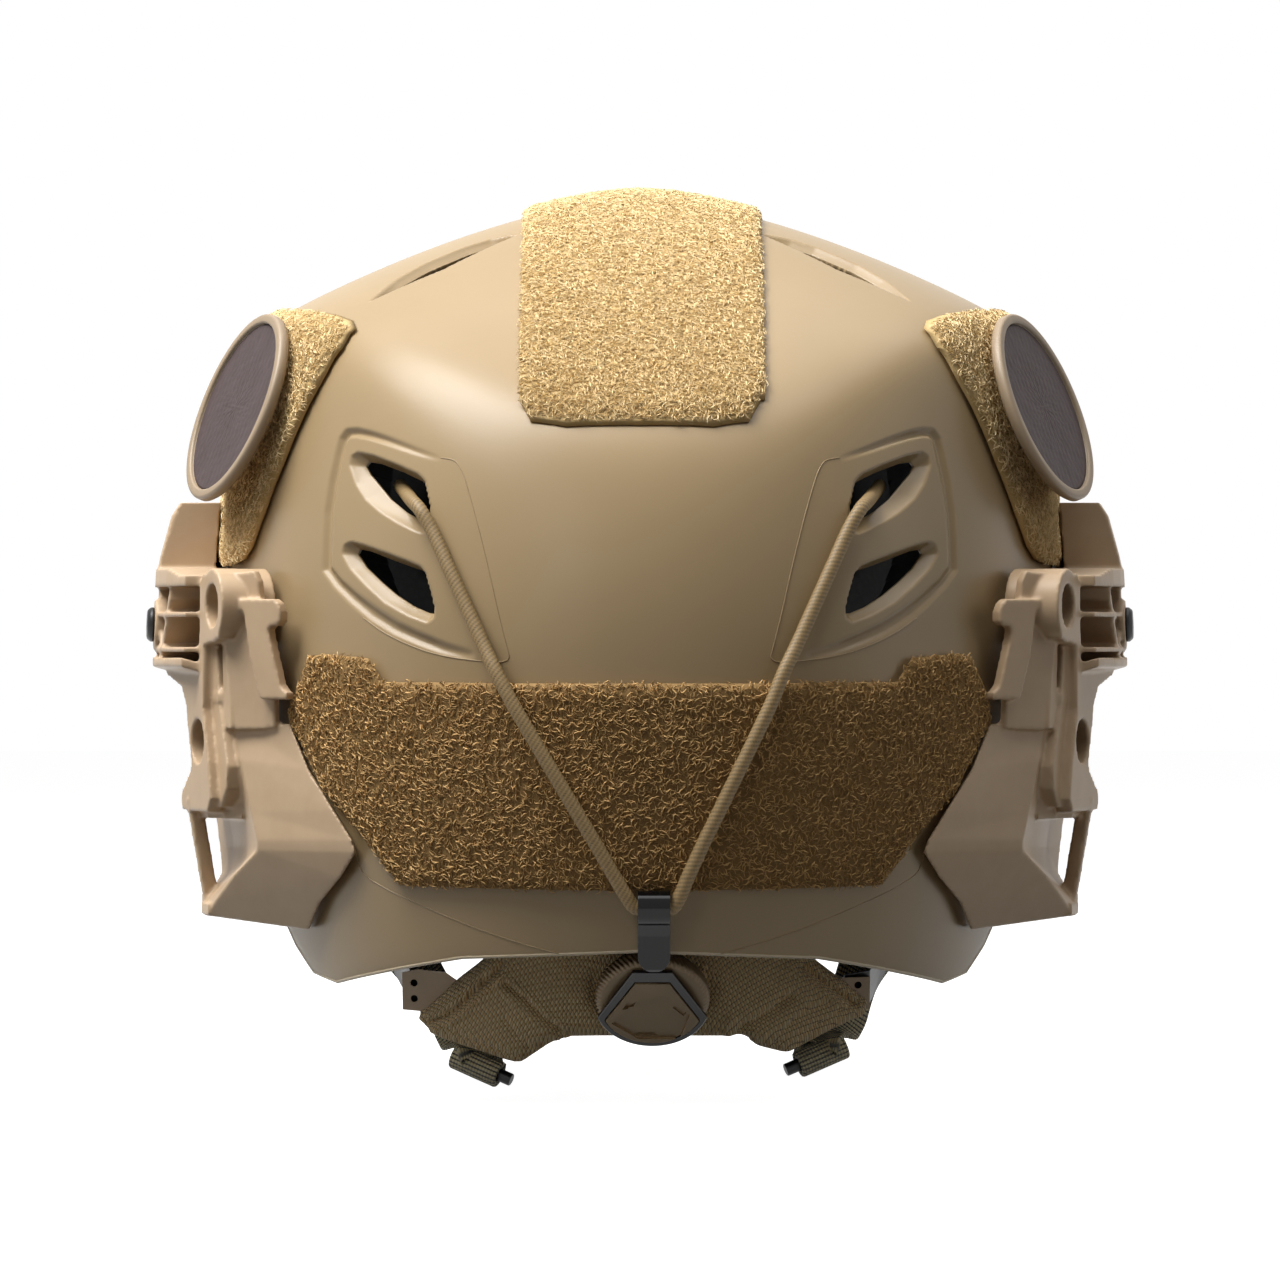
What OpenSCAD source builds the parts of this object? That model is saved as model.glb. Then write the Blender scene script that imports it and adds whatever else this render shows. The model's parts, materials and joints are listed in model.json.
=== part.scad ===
// Combat helmet, bump class: vented shell, foam liner, loop patches, truss side rails,
// a shock cord with its hook, and a dial fit system at the nape.
// Origin: the middle of the wearer's head at ear height. +Y is the wearer's front and +Z is up.

/* [Shell] */
// Width of the shell at its widest level
shell_w = 214; // [206:1:224]
// Distance from the origin to the back of the shell
shell_rear = 137; // [132:1:144]
// Distance from the origin to the brow
shell_front = 135; // [128:1:142]
// Height of the crown above the origin
shell_top = 151.5; // [148:0.5:158]
// Wall thickness of the shell
shell_wall = 3.2; // [2.6:0.1:3.8]
// How far the roof falls from the crown to the side wall
roof_fall = 39; // [36:1:42]
// Depth of the panel pressed in round each pair of rear vents
panel_depth = 1.2; // [0.6:0.1:1.6]

/* [Liner and pads] */
// Thickness of the foam liner
liner_t = 14; // [10:1:18]
// Height of the liner's edge above the shell's rim
liner_raise = 10; // [6:1:14]
// Thickness of a comfort pad
pad_t = 9; // [6:0.5:12]

/* [Patches] */
// Thickness of a loop patch
patch_t = 2.4; // [1.6:0.1:3.2]
// Width of the top loop patch
top_patch_w = 59; // [50:1:64]
// Diameter of a round rubber patch
badge_d = 50; // [44:1:52]
// Thickness of a round rubber patch
badge_t = 3; // [2:0.1:4]

/* [Rails] */
// How far a side rail stands off the shell
rail_stand = 18.5; // [16:0.5:21]
// Wall thickness of a rail's flanges and struts
rail_web = 2.4; // [1.8:0.1:3]
// Bore of the upper accessory ring
upper_ring_d = 10.8; // [9:0.1:11.4]
// Bore of the lower accessory ring
lower_ring_d = 11; // [9:0.1:12]
// Diameter of a rail bolt's head
bolt_head_d = 8.8; // [7:0.1:10]

/* [Shock cord] */
// Diameter of the shock cord
cord_d = 3.5; // [2.6:0.1:4]
// Width of the cord's hook
hook_w = 7.8; // [6:0.1:10]
// Thickness of the hook
hook_t = 2.6; // [2:0.1:3.4]

/* [Fit dial] */
// Diameter of the dial
dial_d = 28.6; // [26:0.1:31]
// Height of the ridged collar of the dial
collar_h = 6.4; // [5.6:0.1:7.4]
// Angle at which the dial looks down
dial_tilt = 42; // [38:1:46]
// Distance of the dial from the middle line
dial_x = 3; // [0:0.5:4]
// Ridges round the collar
ridges = 28; // [20:1:36]

/* [Straps] */
// Width of the webbing
strap_w = 15; // [12:0.5:17]
// Thickness of the webbing
strap_t = 1.4; // [1:0.1:1.8]

/* [Fits] */
// Gap between pieces that are seated on each other
seat_gap = 0.4; // [0.3:0.05:0.5]
// Radial gap between turning or sliding pieces
run_gap = 0.3; // [0.2:0.05:0.4]

/* [Hidden] */

shell_tan = "#a18c6c";
rail_tan = "#a08a70";
loop_sand = "#b59a62";
loop_coyote = "#75603a";
webbing_olive = "#8a7a58";
soft_black = "#2a2724";

half_w = shell_w / 2;
widest_z = 25;
roof_power = 1.55;
roof_rear = 0.866;
roof_front = 0.917;
wall_shape = 2.1;
roof_shape = 2.8;
blend = 24;
lean_span = 93;
tuck_span = 68;
side_lean = 8;
rear_lean = 28;
front_lean = 20;
side_tuck = 10;
rear_tuck = 7;

// Depth of each layer below the outer skin
liner_off = -shell_wall - 4 * seat_gap;
liner_in = liner_off - liner_t;
pad_off = liner_in - 2 * seat_gap;
patch_off = seat_gap;
patch_top = patch_off + patch_t;

// Height of the rim against the angle from the middle of the back
rim_heights = [
    [0, -38], [20, -40], [33, -44.5], [42, -47.5], [48, -45.5], [52, -39], [56, -28],
    [61, -10], [66, 8], [72, 18], [80, 24], [95, 26.5], [108, 26], [118, 24], [128, 22],
    [145, 24], [165, 28.5], [180, 30]
];

// The wall draws in above and below its widest level
function lean(z, top, low) = z > widest_z
    ? top * pow((z - widest_z) / lean_span, 2)
    : low * pow((widest_z - z) / tuck_span, 2);

// Radius of the skin at an angle and a height, off mm outside the shell.
// A steep wall and a wide roof meet in a soft shoulder.
function skin_r(az, z, off = 0) =
    let (
        c = abs(cos(az)),
        s = abs(sin(az)),
        back = sin(az) < 0,
        a = half_w - lean(z, side_lean, side_tuck) + off,
        b = (back ? shell_rear - lean(z, rear_lean, rear_tuck) : shell_front - lean(z, front_lean, rear_tuck)) + off,
        k = back ? roof_rear : roof_front,
        wall = pow(pow(c / a, wall_shape) + pow(s / b, wall_shape), -1 / wall_shape),
        fall = max(0.001, shell_top + off - z),
        reach = half_w * pow(fall / roof_fall, 1 / roof_power),
        roof = reach * pow(pow(c, roof_shape) + pow(s / k, roof_shape), -1 / roof_shape)
    )
    pow(pow(wall, -blend) + pow(roof, -blend), -1 / blend);

function skin(az, z, off = 0) =
    let (r = skin_r(az, z, off))
    [r * cos(az), r * sin(az), z];

function rim_z(az) = lookup(abs(((az + 270) % 360) - 180), rim_heights);

// Halving searches that put a point on the skin from two of its coordinates
function seek_back(x, z, off, lo = 0, hi = 90, n = 16) =
    let (mid = (lo + hi) / 2)
    n == 0 ? mid
    : skin(270 + mid, z, off)[0] < x ? seek_back(x, z, off, mid, hi, n - 1)
    : seek_back(x, z, off, lo, mid, n - 1);
function back_at(x, z, off = 0) =
    let (p = skin(270 + seek_back(abs(x), z, off), z, off))
    [sign(x) * p[0], p[1], z];
function front_at(x, z, off = 0) =
    let (p = skin(90 - seek_front(abs(x), z, off), z, off))
    [sign(x) * p[0], p[1], z];
function seek_front(x, z, off, lo = 0, hi = 90, n = 16) =
    let (mid = (lo + hi) / 2)
    n == 0 ? mid
    : skin(90 - mid, z, off)[0] < x ? seek_front(x, z, off, mid, hi, n - 1)
    : seek_front(x, z, off, lo, mid, n - 1);
function seek_side(y, z, off, lo = -90, hi = 90, n = 16) =
    let (mid = (lo + hi) / 2)
    n == 0 ? mid
    : skin(mid, z, off)[1] < y ? seek_side(y, z, off, mid, hi, n - 1)
    : seek_side(y, z, off, lo, mid, n - 1);
function side_at(y, z, off = 0) = skin(seek_side(y, z, off), z, off);
function seek_top(az, r, off, lo, hi, n = 16) =
    let (mid = (lo + hi) / 2)
    n == 0 ? mid
    : skin_r(az, mid, off) > r ? seek_top(az, r, off, mid, hi, n - 1)
    : seek_top(az, r, off, lo, mid, n - 1);
function top_at(x, y, off = 0) =
    [x, y, seek_top(atan2(y, x), norm([x, y]), off, widest_z, shell_top + off)];

// A closed slab between two grids of points with the same rows and columns
module slab(outer, inner) {
    n = len(outer);
    m = len(outer[0]);
    count = n * m;
    points = concat([for (row = outer) each row], [for (row = inner) each row]);
    across = cross(outer[1][0] - outer[0][0], outer[0][1] - outer[0][0]);
    turned = across * (outer[0][0] - inner[0][0]) > 0;
    quads = [
        for (i = [0 : n - 2], j = [0 : m - 2])
            let (a = i * m + j)
            each [
                [a, a + 1, a + m + 1, a + m],
                [count + a, count + a + m, count + a + m + 1, count + a + 1]
            ],
        for (i = [0 : n - 2])
            let (a = i * m, b = i * m + m - 1)
            each [
                [a, a + m, count + a + m, count + a],
                [b, count + b, count + b + m, b + m]
            ],
        for (j = [0 : m - 2])
            let (b = (n - 1) * m + j)
            each [
                [j, count + j, count + j + 1, j + 1],
                [b, b + 1, count + b + 1, count + b]
            ]
    ];
    faces = [
        for (q = quads)
            each turned
                ? [[q[0], q[1], q[2]], [q[0], q[2], q[3]]]
                : [[q[2], q[1], q[0]], [q[3], q[2], q[0]]]
    ];
    polyhedron(points, faces);
}

// Grid of a piece whose columns are [place, low, high] and whose rows divide each column
function grid(columns, rows, at) = [
    for (c = columns)
        [for (j = [0 : rows]) at(c[0], c[1] + (c[2] - c[1]) * j / rows)]
];

// A cushion's swell: 0 at its edges and 1 over its middle
function swell(u) = pow(1 - pow(abs(2 * u - 1), 4), 0.6);
function swelling(columns, rows, at, thin, thick) = [
    for (i = [0 : len(columns) - 1])
        let (c = columns[i], u = i / (len(columns) - 1))
        [
            for (j = [0 : rows])
                let (v = j / rows)
                at(c[0], c[1] + (c[2] - c[1]) * v, thin + (thick - thin) * swell(u) * swell(v))
        ]
];

function both_sides(columns) = concat(
    columns,
    [for (i = [len(columns) - 1 : -1 : 0]) if (columns[i][0] != 0) [-columns[i][0], columns[i][1], columns[i][2]]]
);

// Closed dome between two depths of the skin, from raise mm above the rim
module dome(outer_off, inner_off, angles, rings, raise = 0) {
    n = len(angles);
    function ring(j, off) = [
        for (az = angles)
            let (low = rim_z(az) + raise, top = shell_top + off)
            skin(az, top - (top - low) * pow(1 - j / rings, 1.6), off)
    ];
    outer = [for (j = [0 : rings - 1]) each ring(j, outer_off)];
    inner = [for (j = [0 : rings - 1]) each ring(j, inner_off)];
    count = n * rings;
    crown = [[0, 0, shell_top + outer_off], [0, 0, shell_top + inner_off]];
    faces = [
        for (j = [0 : rings - 2], i = [0 : n - 1])
            let (a = j * n + i, b = j * n + (i + 1) % n)
            each [
                [a, a + n, b], [b, a + n, b + n],
                [count + a, count + b, count + a + n], [count + b, count + b + n, count + a + n]
            ],
        for (i = [0 : n - 1])
            let (a = (rings - 1) * n + i, b = (rings - 1) * n + (i + 1) % n)
            each [[a, 2 * count, b], [count + a, count + b, 2 * count + 1]],
        for (i = [0 : n - 1])
            let (b = (i + 1) % n)
            each [[i, b, count + i], [b, count + b, count + i]]
    ];
    polyhedron(concat(outer, inner, crown), faces);
}

function all_round(half) = concat(
    [for (h = half) 270 + h],
    [450],
    [for (i = [len(half) - 1 : -1 : 1]) 270 - half[i]]
);
fine_angles = all_round(concat([for (h = [0 : 6 : 42]) h], [for (h = [45 : 3 : 75]) h], [for (h = [80 : 6 : 176]) h]));

// Shell and liner

upper_vent = [[-69.5, 83.5], [-71, 80], [-67.3, 73], [-61.7, 68.3], [-55.1, 64.7], [-52.2, 69.5], [-53.1, 76.2]];
lower_vent = [[-70.5, 61], [-72, 59], [-70, 55], [-64, 48.5], [-57, 44], [-51, 41.5], [-50, 44], [-53.5, 54.5]];
top_vent = [[-66, -60], [-60, -51.5], [-54, -45.5], [-44, -39.5], [-38, -37.5], [-33, -37.2], [-40, -43.5], [-50, -52]];
vent_channel = [[-72, 84], [-74, 60], [-70, 50], [-50, 38], [-48, 56], [-50, 78]];
// The pressed panel's columns: distance from the middle, low edge and high edge
vent_panel = [[-77.9, 54, 62], [-76.6, 51, 76.6], [-73.5, 48.5, 88], [-64, 42.4, 86.8], [-54, 38, 84], [-48.7, 36.4, 81.8], [-42, 35, 64], [-34.5, 33.6, 44]];

module rear_cut(outline) {
    translate([0, -40, 0])
        rotate([90, 0, 0])
            linear_extrude(height = 120)
                polygon(outline);
}

module top_cut(outline) {
    translate([0, 0, 90])
        linear_extrude(height = 70)
            polygon(outline);
}

module shell() {
    color(shell_tan)
        difference() {
            dome(0, -shell_wall, fine_angles, 14);
            for (side = [0, 1])
                mirror([side, 0, 0]) {
                    rear_cut(upper_vent);
                    rear_cut(lower_vent);
                    top_cut(top_vent);
                    slab(
                        grid(vent_panel, 4, function(x, z) back_at(x, z, 4)),
                        grid(vent_panel, 4, function(x, z) back_at(x, z, -panel_depth))
                    );
                }
        }
}

module impact_liner() {
    color(soft_black)
        difference() {
            dome(liner_off, liner_in, fine_angles, 14, liner_raise);
            for (side = [0, 1])
                mirror([side, 0, 0]) {
                    rear_cut(vent_channel);
                    top_cut(top_vent);
                }
        }
}

// Comfort pads, seated inside the liner

module cushion(columns, rows, at) {
    color(soft_black)
        slab(
            swelling(columns, rows, at, pad_off, pad_off),
            swelling(columns, rows, at, pad_off - pad_t * 0.35, pad_off - pad_t)
        );
}

module crown_pad() {
    cushion(
        [for (x = [-34 : 8.5 : 34]) [x, -42 + abs(x) / 4, 42 - abs(x) / 4]], 8,
        function(x, y, off) top_at(x, y, off)
    );
}

module front_pad() {
    cushion(
        [for (x = [-56 : 11.2 : 56.1]) [x, 52, 84 - abs(x) / 8]], 5,
        function(x, z, off) front_at(x, z, off)
    );
}

module rear_pad() {
    cushion(
        [for (x = [-38 : 9.5 : 38]) [x, 4, 40 - abs(x) / 6]], 5,
        function(x, z, off) back_at(x, z, off)
    );
}

module side_pad() {
    cushion(
        [for (y = [-34 : 10 : 36]) [y, 60, 98 - abs(y) / 5]], 5,
        function(y, z, off) side_at(y, z, off)
    );
}

module side_pad_right() side_pad();
module side_pad_left() mirror([1, 0, 0]) side_pad();

// Loop patches and rubber patches, seated on the shell

module top_loop_patch() {
    w = top_patch_w / 2;
    columns = both_sides([
        [-w, -113, 47], [-w * 0.9, -118, 51], [-w * 0.6, -120.3, 52.6], [-w * 0.3, -120.8, 53.6], [0, -121, 54]
    ]);
    color(loop_sand)
        slab(
            grid(columns, 18, function(x, y) top_at(x, y, patch_top)),
            grid(columns, 18, function(x, y) top_at(x, y, patch_off))
        );
}

rear_patch_columns = both_sides([
    [-86.4, 17, 20], [-84, 13.5, 26.5], [-81.2, 8, 33.5], [-77.3, 0.3, 34], [-68.6, -9.2, 33.3],
    [-66.3, -12, 33], [-62.5, -17.5, 27.3], [-58.5, -22.3, 27.2], [-49, -22.4, 27.2], [-40, -22.6, 27.1],
    [-30, -22.7, 27], [-20, -22.8, 27], [-10, -22.9, 27], [0, -23, 27]
]);

module rear_loop_patch() {
    color(loop_coyote)
        slab(
            grid(rear_patch_columns, 4, function(x, z) back_at(x, z, patch_top)),
            grid(rear_patch_columns, 4, function(x, z) back_at(x, z, patch_off))
        );
}

side_patch_columns = [
    [-79, 104, 110], [-75.5, 92, 115], [-71.5, 81, 117], [-65.5, 69.5, 118.5], [-59.5, 61, 119.5], [-54, 57.8, 120],
    [-46, 56.8, 120.5], [-36, 56.8, 121],
    [-24, 56.8, 121], [-12, 56.8, 121], [0, 56.8, 121], [12, 56.8, 120.5], [24, 57.4, 119], [34, 58, 117], [42, 62, 112]
];

module side_loop_patch() {
    color(loop_sand)
        slab(
            grid(side_patch_columns, 10, function(y, z) side_at(y, z, patch_top + 0.4)),
            grid(side_patch_columns, 10, function(y, z) side_at(y, z, patch_off + 0.4))
        );
}

module side_loop_patch_right() side_loop_patch();
module side_loop_patch_left() mirror([1, 0, 0]) side_loop_patch();

badge_place = [half_w - 7, -52, 95.4];
badge_turn = -23;
badge_rise = 20.6;

// Turns a piece drawn along +Z to stand on the side skin at a place
module on_side(y, z, off) {
    place = side_at(y, z, off);
    along = side_at(y + 2, z, off) - side_at(y - 2, z, off);
    up = side_at(y, z + 2, off) - side_at(y, z - 2, off);
    out = cross(along, up) / norm(cross(along, up));
    translate(place)
        rotate([0, acos(out[2]), atan2(out[1], out[0])])
            children();
}

module round_patch() {
    r = badge_d / 2;
    rim = 2.6;
    field = 1;
    color("#5c4a3c")
        translate(badge_place)
            rotate([0, 90 - badge_rise, badge_turn])
                rotate_extrude($fn = 72)
                    polygon([
                        [0, 0], [r - 0.8, 0], [r, 0.8], [r, badge_t - 0.8], [r - 0.8, badge_t],
                        [r - rim, badge_t], [r - rim, badge_t - field], [0, badge_t - field]
                    ]);
}

module round_patch_right() round_patch();
module round_patch_left() mirror([1, 0, 0]) round_patch();

// Side rails: a truss over the side wall, a drop leg behind the ear with two bores and a
// strap bar, a clip arm, and a wing that wraps back onto the shell. Drawn for the wearer's right.

rail_rear = -62;
rail_front = 62;
rail_ys = [for (i = [0 : 9]) rail_rear + (rail_front - rail_rear) * i / 9];
function rail_dip(y) = -0.12 * max(0, y - 25);
function truss_low(y) = 30.7 + rail_dip(y);
function truss_high(y) = 51 + rail_dip(y);
rail_in = patch_off;
rail_base_t = 2.2;
// How far the lower flange slants down towards the shell, and where the truss has its ribs
flange_fall = 5;
rib_heights = [34.5, 43.3];
rib_t = 1.2;
// The upper flange is thick, and the block stands on its front part
shelf_h = 4.6;
block_rear = -26;
leg_reach = -67.6;
block_h = 21.5;
// How far the upper block stands off, up its height
block_profile = [[0, 0], [0.3, -0.6], [0.86, -3], [1, -4.8]];
bolt_ys = [-22, 34];
bolt_shank_d = 4.8;
bolt_grip = 12;
bolt_head_h = 1.8;

leg_place = [half_w + 10, -48];
leg_turn = -109.8;
leg_t = 4;
leg_outline = [
    [20.6, 51], [23, 54], [36, 54], [40, 47], [37, 38], [24, 36], [23.5, 20], [28, 7], [30, -2], [27, -5.4],
    [8.7, -5.4], [5.4, -5], [4.4, -3.6], [4.4, -1.4], [5.4, -0.2], [12.2, 4.6], [13.2, 6.6], [12.2, 10],
    [9.6, 17], [8.6, 21], [4.6, 25.6], [-9, 28.8], [-9, 31], [20, 31]
];
// The rear band of the leg lies a step lower, and the side wall's upper end another step lower
band_step = 2.7;
band_outline = [[22, 38], [25.4, 38], [28.4, 22], [35.6, 6], [34.6, 0.5], [30, -4], [22, -4]];
edge_step = 3.6;
edge_outline = [[28, 40], [32.8, 40], [36, 15.4], [29.6, 15.4], [28.8, 22]];
upper_ring = [31, 46];
lower_ring = [18.5, 12.2];
ring_wall = 3.8;
ring_depth = 14;
// The strap bar and the foot lean in towards the shell below the knuckle
bar_top = -4;
bar_lean = 10;
bar_t = 3.7;
bar_outline = [[9.5, 1.5], [11.8, 1.5], [11.8, -23.6], [13.6, -25.5], [13.6, -28.4], [9, -28.2], [8, -26.5], [8, -24], [9.5, -22.5]];

arm_place = [half_w + 0.2, -75.2];
arm_turn = -142.6;
arm_t = 2.4;
arm_rise = 2.5;
arm_outline = [
    [0, 53.8], [14.5, 54.6], [16, 52], [16.5, 47.5], [21, 46], [21, 42], [19, 40.5], [19.6, 28],
    [21, 25.5], [21.4, 15.6], [8.6, 15], [7.6, 18], [4.6, 37], [0, 41]
];
arm_ledge = [
    [9.6, 46.6], [10.6, 47.6], [22.8, 47.6], [24.4, 46.6], [25.2, 44.4], [25.1, 42], [24.2, 41], [22.2, 41],
    [21.3, 40], [21.6, 38], [25, 26.4], [26, 25.2], [27.2, 24.6], [27.2, 22.8], [19.6, 22.8], [18.4, 23],
    [15.4, 32.5], [14, 40], [13.2, 44.2], [11.6, 45.4], [10.2, 45.2]
];

// Wing: the ridge where it turns back, the place on the shell that it reaches and the front edge
// of its side wall. Each first number is the distance from the widest part of the shell.
wing_t = 2.4;
function from_widest(p) = concat([half_w + p[0]], [for (i = [1 : len(p) - 1]) p[i]]);
wing_free = [
    for (p = [
        [-6.6, -77, 16.7], [-7.8, -80.5, 7.7], [-10.7, -84, -5], [-12.3, -86, -12], [-12.3, -85.6, -14.5],
        [-6, -76, -21], [-1.4, -68, -27], [1.8, -62, -31.5]
    ])
        from_widest(p)
];
wing_seat = [
    for (p = [
        [-20.7, 16.7], [-25.5, 5.5], [-32, -4.5], [-36.5, -11.5], [-37.5, -14.5], [-33.5, -20.8], [-28, -27.3], [-25, -34.3]
    ])
        from_widest(p)
];
side_wall_mid = [
    for (p = [
        [-3.4, -75, 16.7], [-4.4, -74, 7.7], [-3.6, -56, -5], [-4.6, -56, -12], [-4.9, -56, -14.5],
        [-4.4, -58, -21], [0.6, -60, -27], [2.3, -59, -31.5]
    ])
        from_widest(p)
];
side_wall_out = [
    for (p = [
        [-2.8, -73, 16.7], [-3.4, -71, 7.7], [0.4, -44, -5], [-0.4, -44, -12], [-0.7, -44, -14.5],
        [-1.4, -46, -21], [1.6, -57, -27], [2.2, -57, -31.5]
    ])
        from_widest(p)
];
side_wall_t = 2.2;

// Draws an outline of [along, height] on a standing plane, with its face at the plane
module standing(place, turn, depth, proud = 0) {
    translate([place[0], place[1], 0])
        rotate([0, 0, turn])
            translate([0, proud, 0])
                rotate([90, 0, 0])
                    linear_extrude(height = depth)
                        children();
}

module truss() {
    function band(columns, off) = grid(columns, 1, function(y, z) side_at(y, z, off));
    function edge(low, high, off) = [for (y = concat([leg_reach], rail_ys)) [for (z = [low, high]) side_at(y, z + rail_dip(y), off)]];
    base = [for (y = rail_ys) [y, truss_low(y) - flange_fall, truss_high(y) + rib_t]];
    upper = [for (y = concat([leg_reach], rail_ys)) [y, truss_high(y), truss_high(y) + shelf_h * (y < -50 ? 0.6 : 1)]];
    slab(band(base, rail_in + rail_base_t), band(base, rail_in));
    slab(band(upper, rail_stand), band(upper, rail_in + 1));
    slab(
        edge(truss_low(0), truss_low(0) + rail_web, rail_stand),
        edge(truss_low(0) - flange_fall, truss_low(0) + rail_web - flange_fall, rail_in + 0.5)
    );
    for (z = rib_heights)
        slab(edge(z, z + rib_t, rail_stand - 0.5), edge(z, z + rib_t, rail_in + 2));
    for (i = [1 : len(rail_ys) - 2]) {
        rising = i % 2 == 0;
        ends = [rail_ys[i], rail_ys[i + 1]];
        strut = [
            for (k = [0, 1])
                let (y = ends[k], at_top = rising == (k == 1))
                at_top
                    ? [y, truss_high(y) - 1.4 * rail_web, truss_high(y) + rib_t]
                    : [y, truss_low(y), truss_low(y) + 1.4 * rail_web]
        ];
        slab(band(strut, rail_stand - 1), band(strut, rail_in + 0.5));
    }
}

module upper_block() {
    ys = concat([block_rear], [for (y = rail_ys) if (y > block_rear + 2) y]);
    columns = [for (y = ys) [y, truss_high(y) + rib_t, truss_high(y) + block_h]];
    function height_share(y, z) = (z - truss_high(y)) / block_h;
    slab(
        grid(columns, 6, function(y, z) side_at(y, z, rail_stand + lookup(height_share(y, z), block_profile))),
        grid(columns, 6, function(y, z) side_at(y, z, patch_top + 2 * seat_gap))
    );
}

function bolt_z(y) = (truss_low(y) + truss_high(y)) / 2;

module rail_boss(y) {
    on_side(y, bolt_z(y), rail_in)
        cylinder(d = bolt_shank_d + 8, h = rail_stand - rail_in, $fn = 48);
}

module rail_bolt(y, gap = 0) {
    on_side(y, bolt_z(y), rail_in)
        translate([0, 0, rail_stand - rail_in - bolt_grip])
            cylinder(d = bolt_shank_d + 2 * gap, h = bolt_grip + 0.01, $fn = 32);
}

module leg_ring() {
    standing(leg_place, leg_turn, ring_depth)
        translate(upper_ring)
            circle(d = upper_ring_d + 2 * ring_wall, $fn = 48);
}

module leg_bore(place, bore, depth) {
    standing(leg_place, leg_turn, depth + 8, 8)
        translate(place)
            circle(d = bore, $fn = 48);
}

module strap_bar() {
    translate([leg_place[0], leg_place[1], bar_top])
        rotate([0, 0, leg_turn])
            rotate([-bar_lean, 0, 0])
                rotate([90, 0, 0])
                    linear_extrude(height = bar_t)
                        polygon(bar_outline);
}

module wing() {
    rows = [0 : len(wing_free) - 1];
    function inward(p) = [p[0] - 1.3, p[1] + 2, p[2]];
    function behind(p) = p - [side_wall_t, -0.8, 0];
    slab(
        [for (i = rows) [wing_free[i], back_at(wing_seat[i][0], wing_seat[i][1], rail_in + wing_t)]],
        [for (i = rows) [inward(wing_free[i]), back_at(wing_seat[i][0], wing_seat[i][1], rail_in)]]
    );
    slab(
        [for (i = rows) [wing_free[i], side_wall_mid[i], side_wall_out[i]]],
        [for (i = rows) [behind(wing_free[i]), behind(side_wall_mid[i]), behind(side_wall_out[i])]]
    );
}

// Floors that tie the leg, the side wall and the wing together
module leg_floors() {
    translate([half_w, 0, -7])
        linear_extrude(height = 4.6)
            polygon([[5.2, -52], [1, -66], [-8, -76], [-10, -70], [-6, -60], [-1, -50]]);
    translate([half_w, 0, -31.4])
        linear_extrude(height = 3)
            polygon([[3.2, -55.5], [1, -64], [-6, -66], [-5, -53]]);
    translate([half_w, 0, 22])
        linear_extrude(height = 2.4)
            polygon([[4, -58], [-2, -74], [-8, -78], [-12, -70], [-4, -56]]);
}

module rail() {
    color(rail_tan)
        difference() {
            union() {
                truss();
                upper_block();
                for (y = bolt_ys)
                    rail_boss(y);
                standing(leg_place, leg_turn, leg_t)
                    polygon(leg_outline);
                standing(leg_place, leg_turn, leg_t, -band_step)
                    polygon(band_outline);
                standing(leg_place, leg_turn, rail_web, -edge_step)
                    polygon(edge_outline);
                leg_ring();
                strap_bar();
                standing(arm_place, arm_turn, arm_t)
                    polygon(arm_outline);
                standing(arm_place, arm_turn, arm_rise + 0.6, arm_rise)
                    polygon(arm_ledge);
                wing();
                leg_floors();
            }
            leg_bore(upper_ring, upper_ring_d, ring_depth);
            leg_bore(lower_ring, lower_ring_d, leg_t + 0.5);
            for (y = bolt_ys)
                rail_bolt(y, run_gap);
        }
}

module rail_bolts() {
    color(soft_black)
        for (y = bolt_ys) {
            rail_bolt(y);
            on_side(y, bolt_z(y), rail_in)
                translate([0, 0, rail_stand - rail_in])
                    difference() {
                        rotate_extrude($fn = 48)
                            polygon([
                                [0, 0], [bolt_head_d / 2, 0], [bolt_head_d / 2, bolt_head_h * 0.5],
                                [bolt_head_d / 2 - 0.8, bolt_head_h], [0, bolt_head_h]
                            ]);
                        translate([0, 0, 0.6])
                            cylinder(d = 3.4, h = bolt_head_h, $fn = 6);
                    }
        }
}

module rail_right() rail();
module rail_left() mirror([1, 0, 0]) rail();
module rail_bolts_right() rail_bolts();
module rail_bolts_left() mirror([1, 0, 0]) rail_bolts();

// Front shroud and its screws

shroud_t = 4;
shroud_rise = 3.5;
shroud_w = 60;
shroud_low = 46;
shroud_high = 100;
window_w = 22;
window_low = 60;
window_high = 86;
screw_d = 7.6;
screw_grip = 3;
shroud_screws_at = [[-24, 53], [24, 53], [-22, 92], [22, 92]];

module on_front(x, z, off) {
    place = front_at(x, z, off);
    along = front_at(x + 2, z, off) - front_at(x - 2, z, off);
    up = front_at(x, z + 2, off) - front_at(x, z - 2, off);
    out = -cross(along, up) / norm(cross(along, up));
    translate(place)
        rotate([0, acos(out[2]), atan2(out[1], out[0])])
            children();
}

module front_shroud() {
    half = shroud_w / 2;
    plate = [for (x = [-half : half / 4 : half]) [x, shroud_low + abs(x) / 8, shroud_high - abs(x) / 3]];
    boss = [for (x = [-17 : 4.25 : 17]) [x, window_low - 6, window_high + 6]];
    color(rail_tan)
        difference() {
            union() {
                slab(
                    grid(plate, 8, function(x, z) front_at(x, z, patch_off + shroud_t)),
                    grid(plate, 8, function(x, z) front_at(x, z, patch_off))
                );
                slab(
                    grid(boss, 2, function(x, z) front_at(x, z, patch_off + shroud_t + shroud_rise)),
                    grid(boss, 2, function(x, z) front_at(x, z, patch_off + 1))
                );
            }
            translate([-window_w / 2, 90, window_low])
                cube([window_w, 60, window_high - window_low]);
            for (p = shroud_screws_at)
                on_front(p[0], p[1], patch_off + shroud_t - screw_grip)
                    cylinder(d = screw_d + 2 * run_gap, h = 8, $fn = 32);
        }
}

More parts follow.
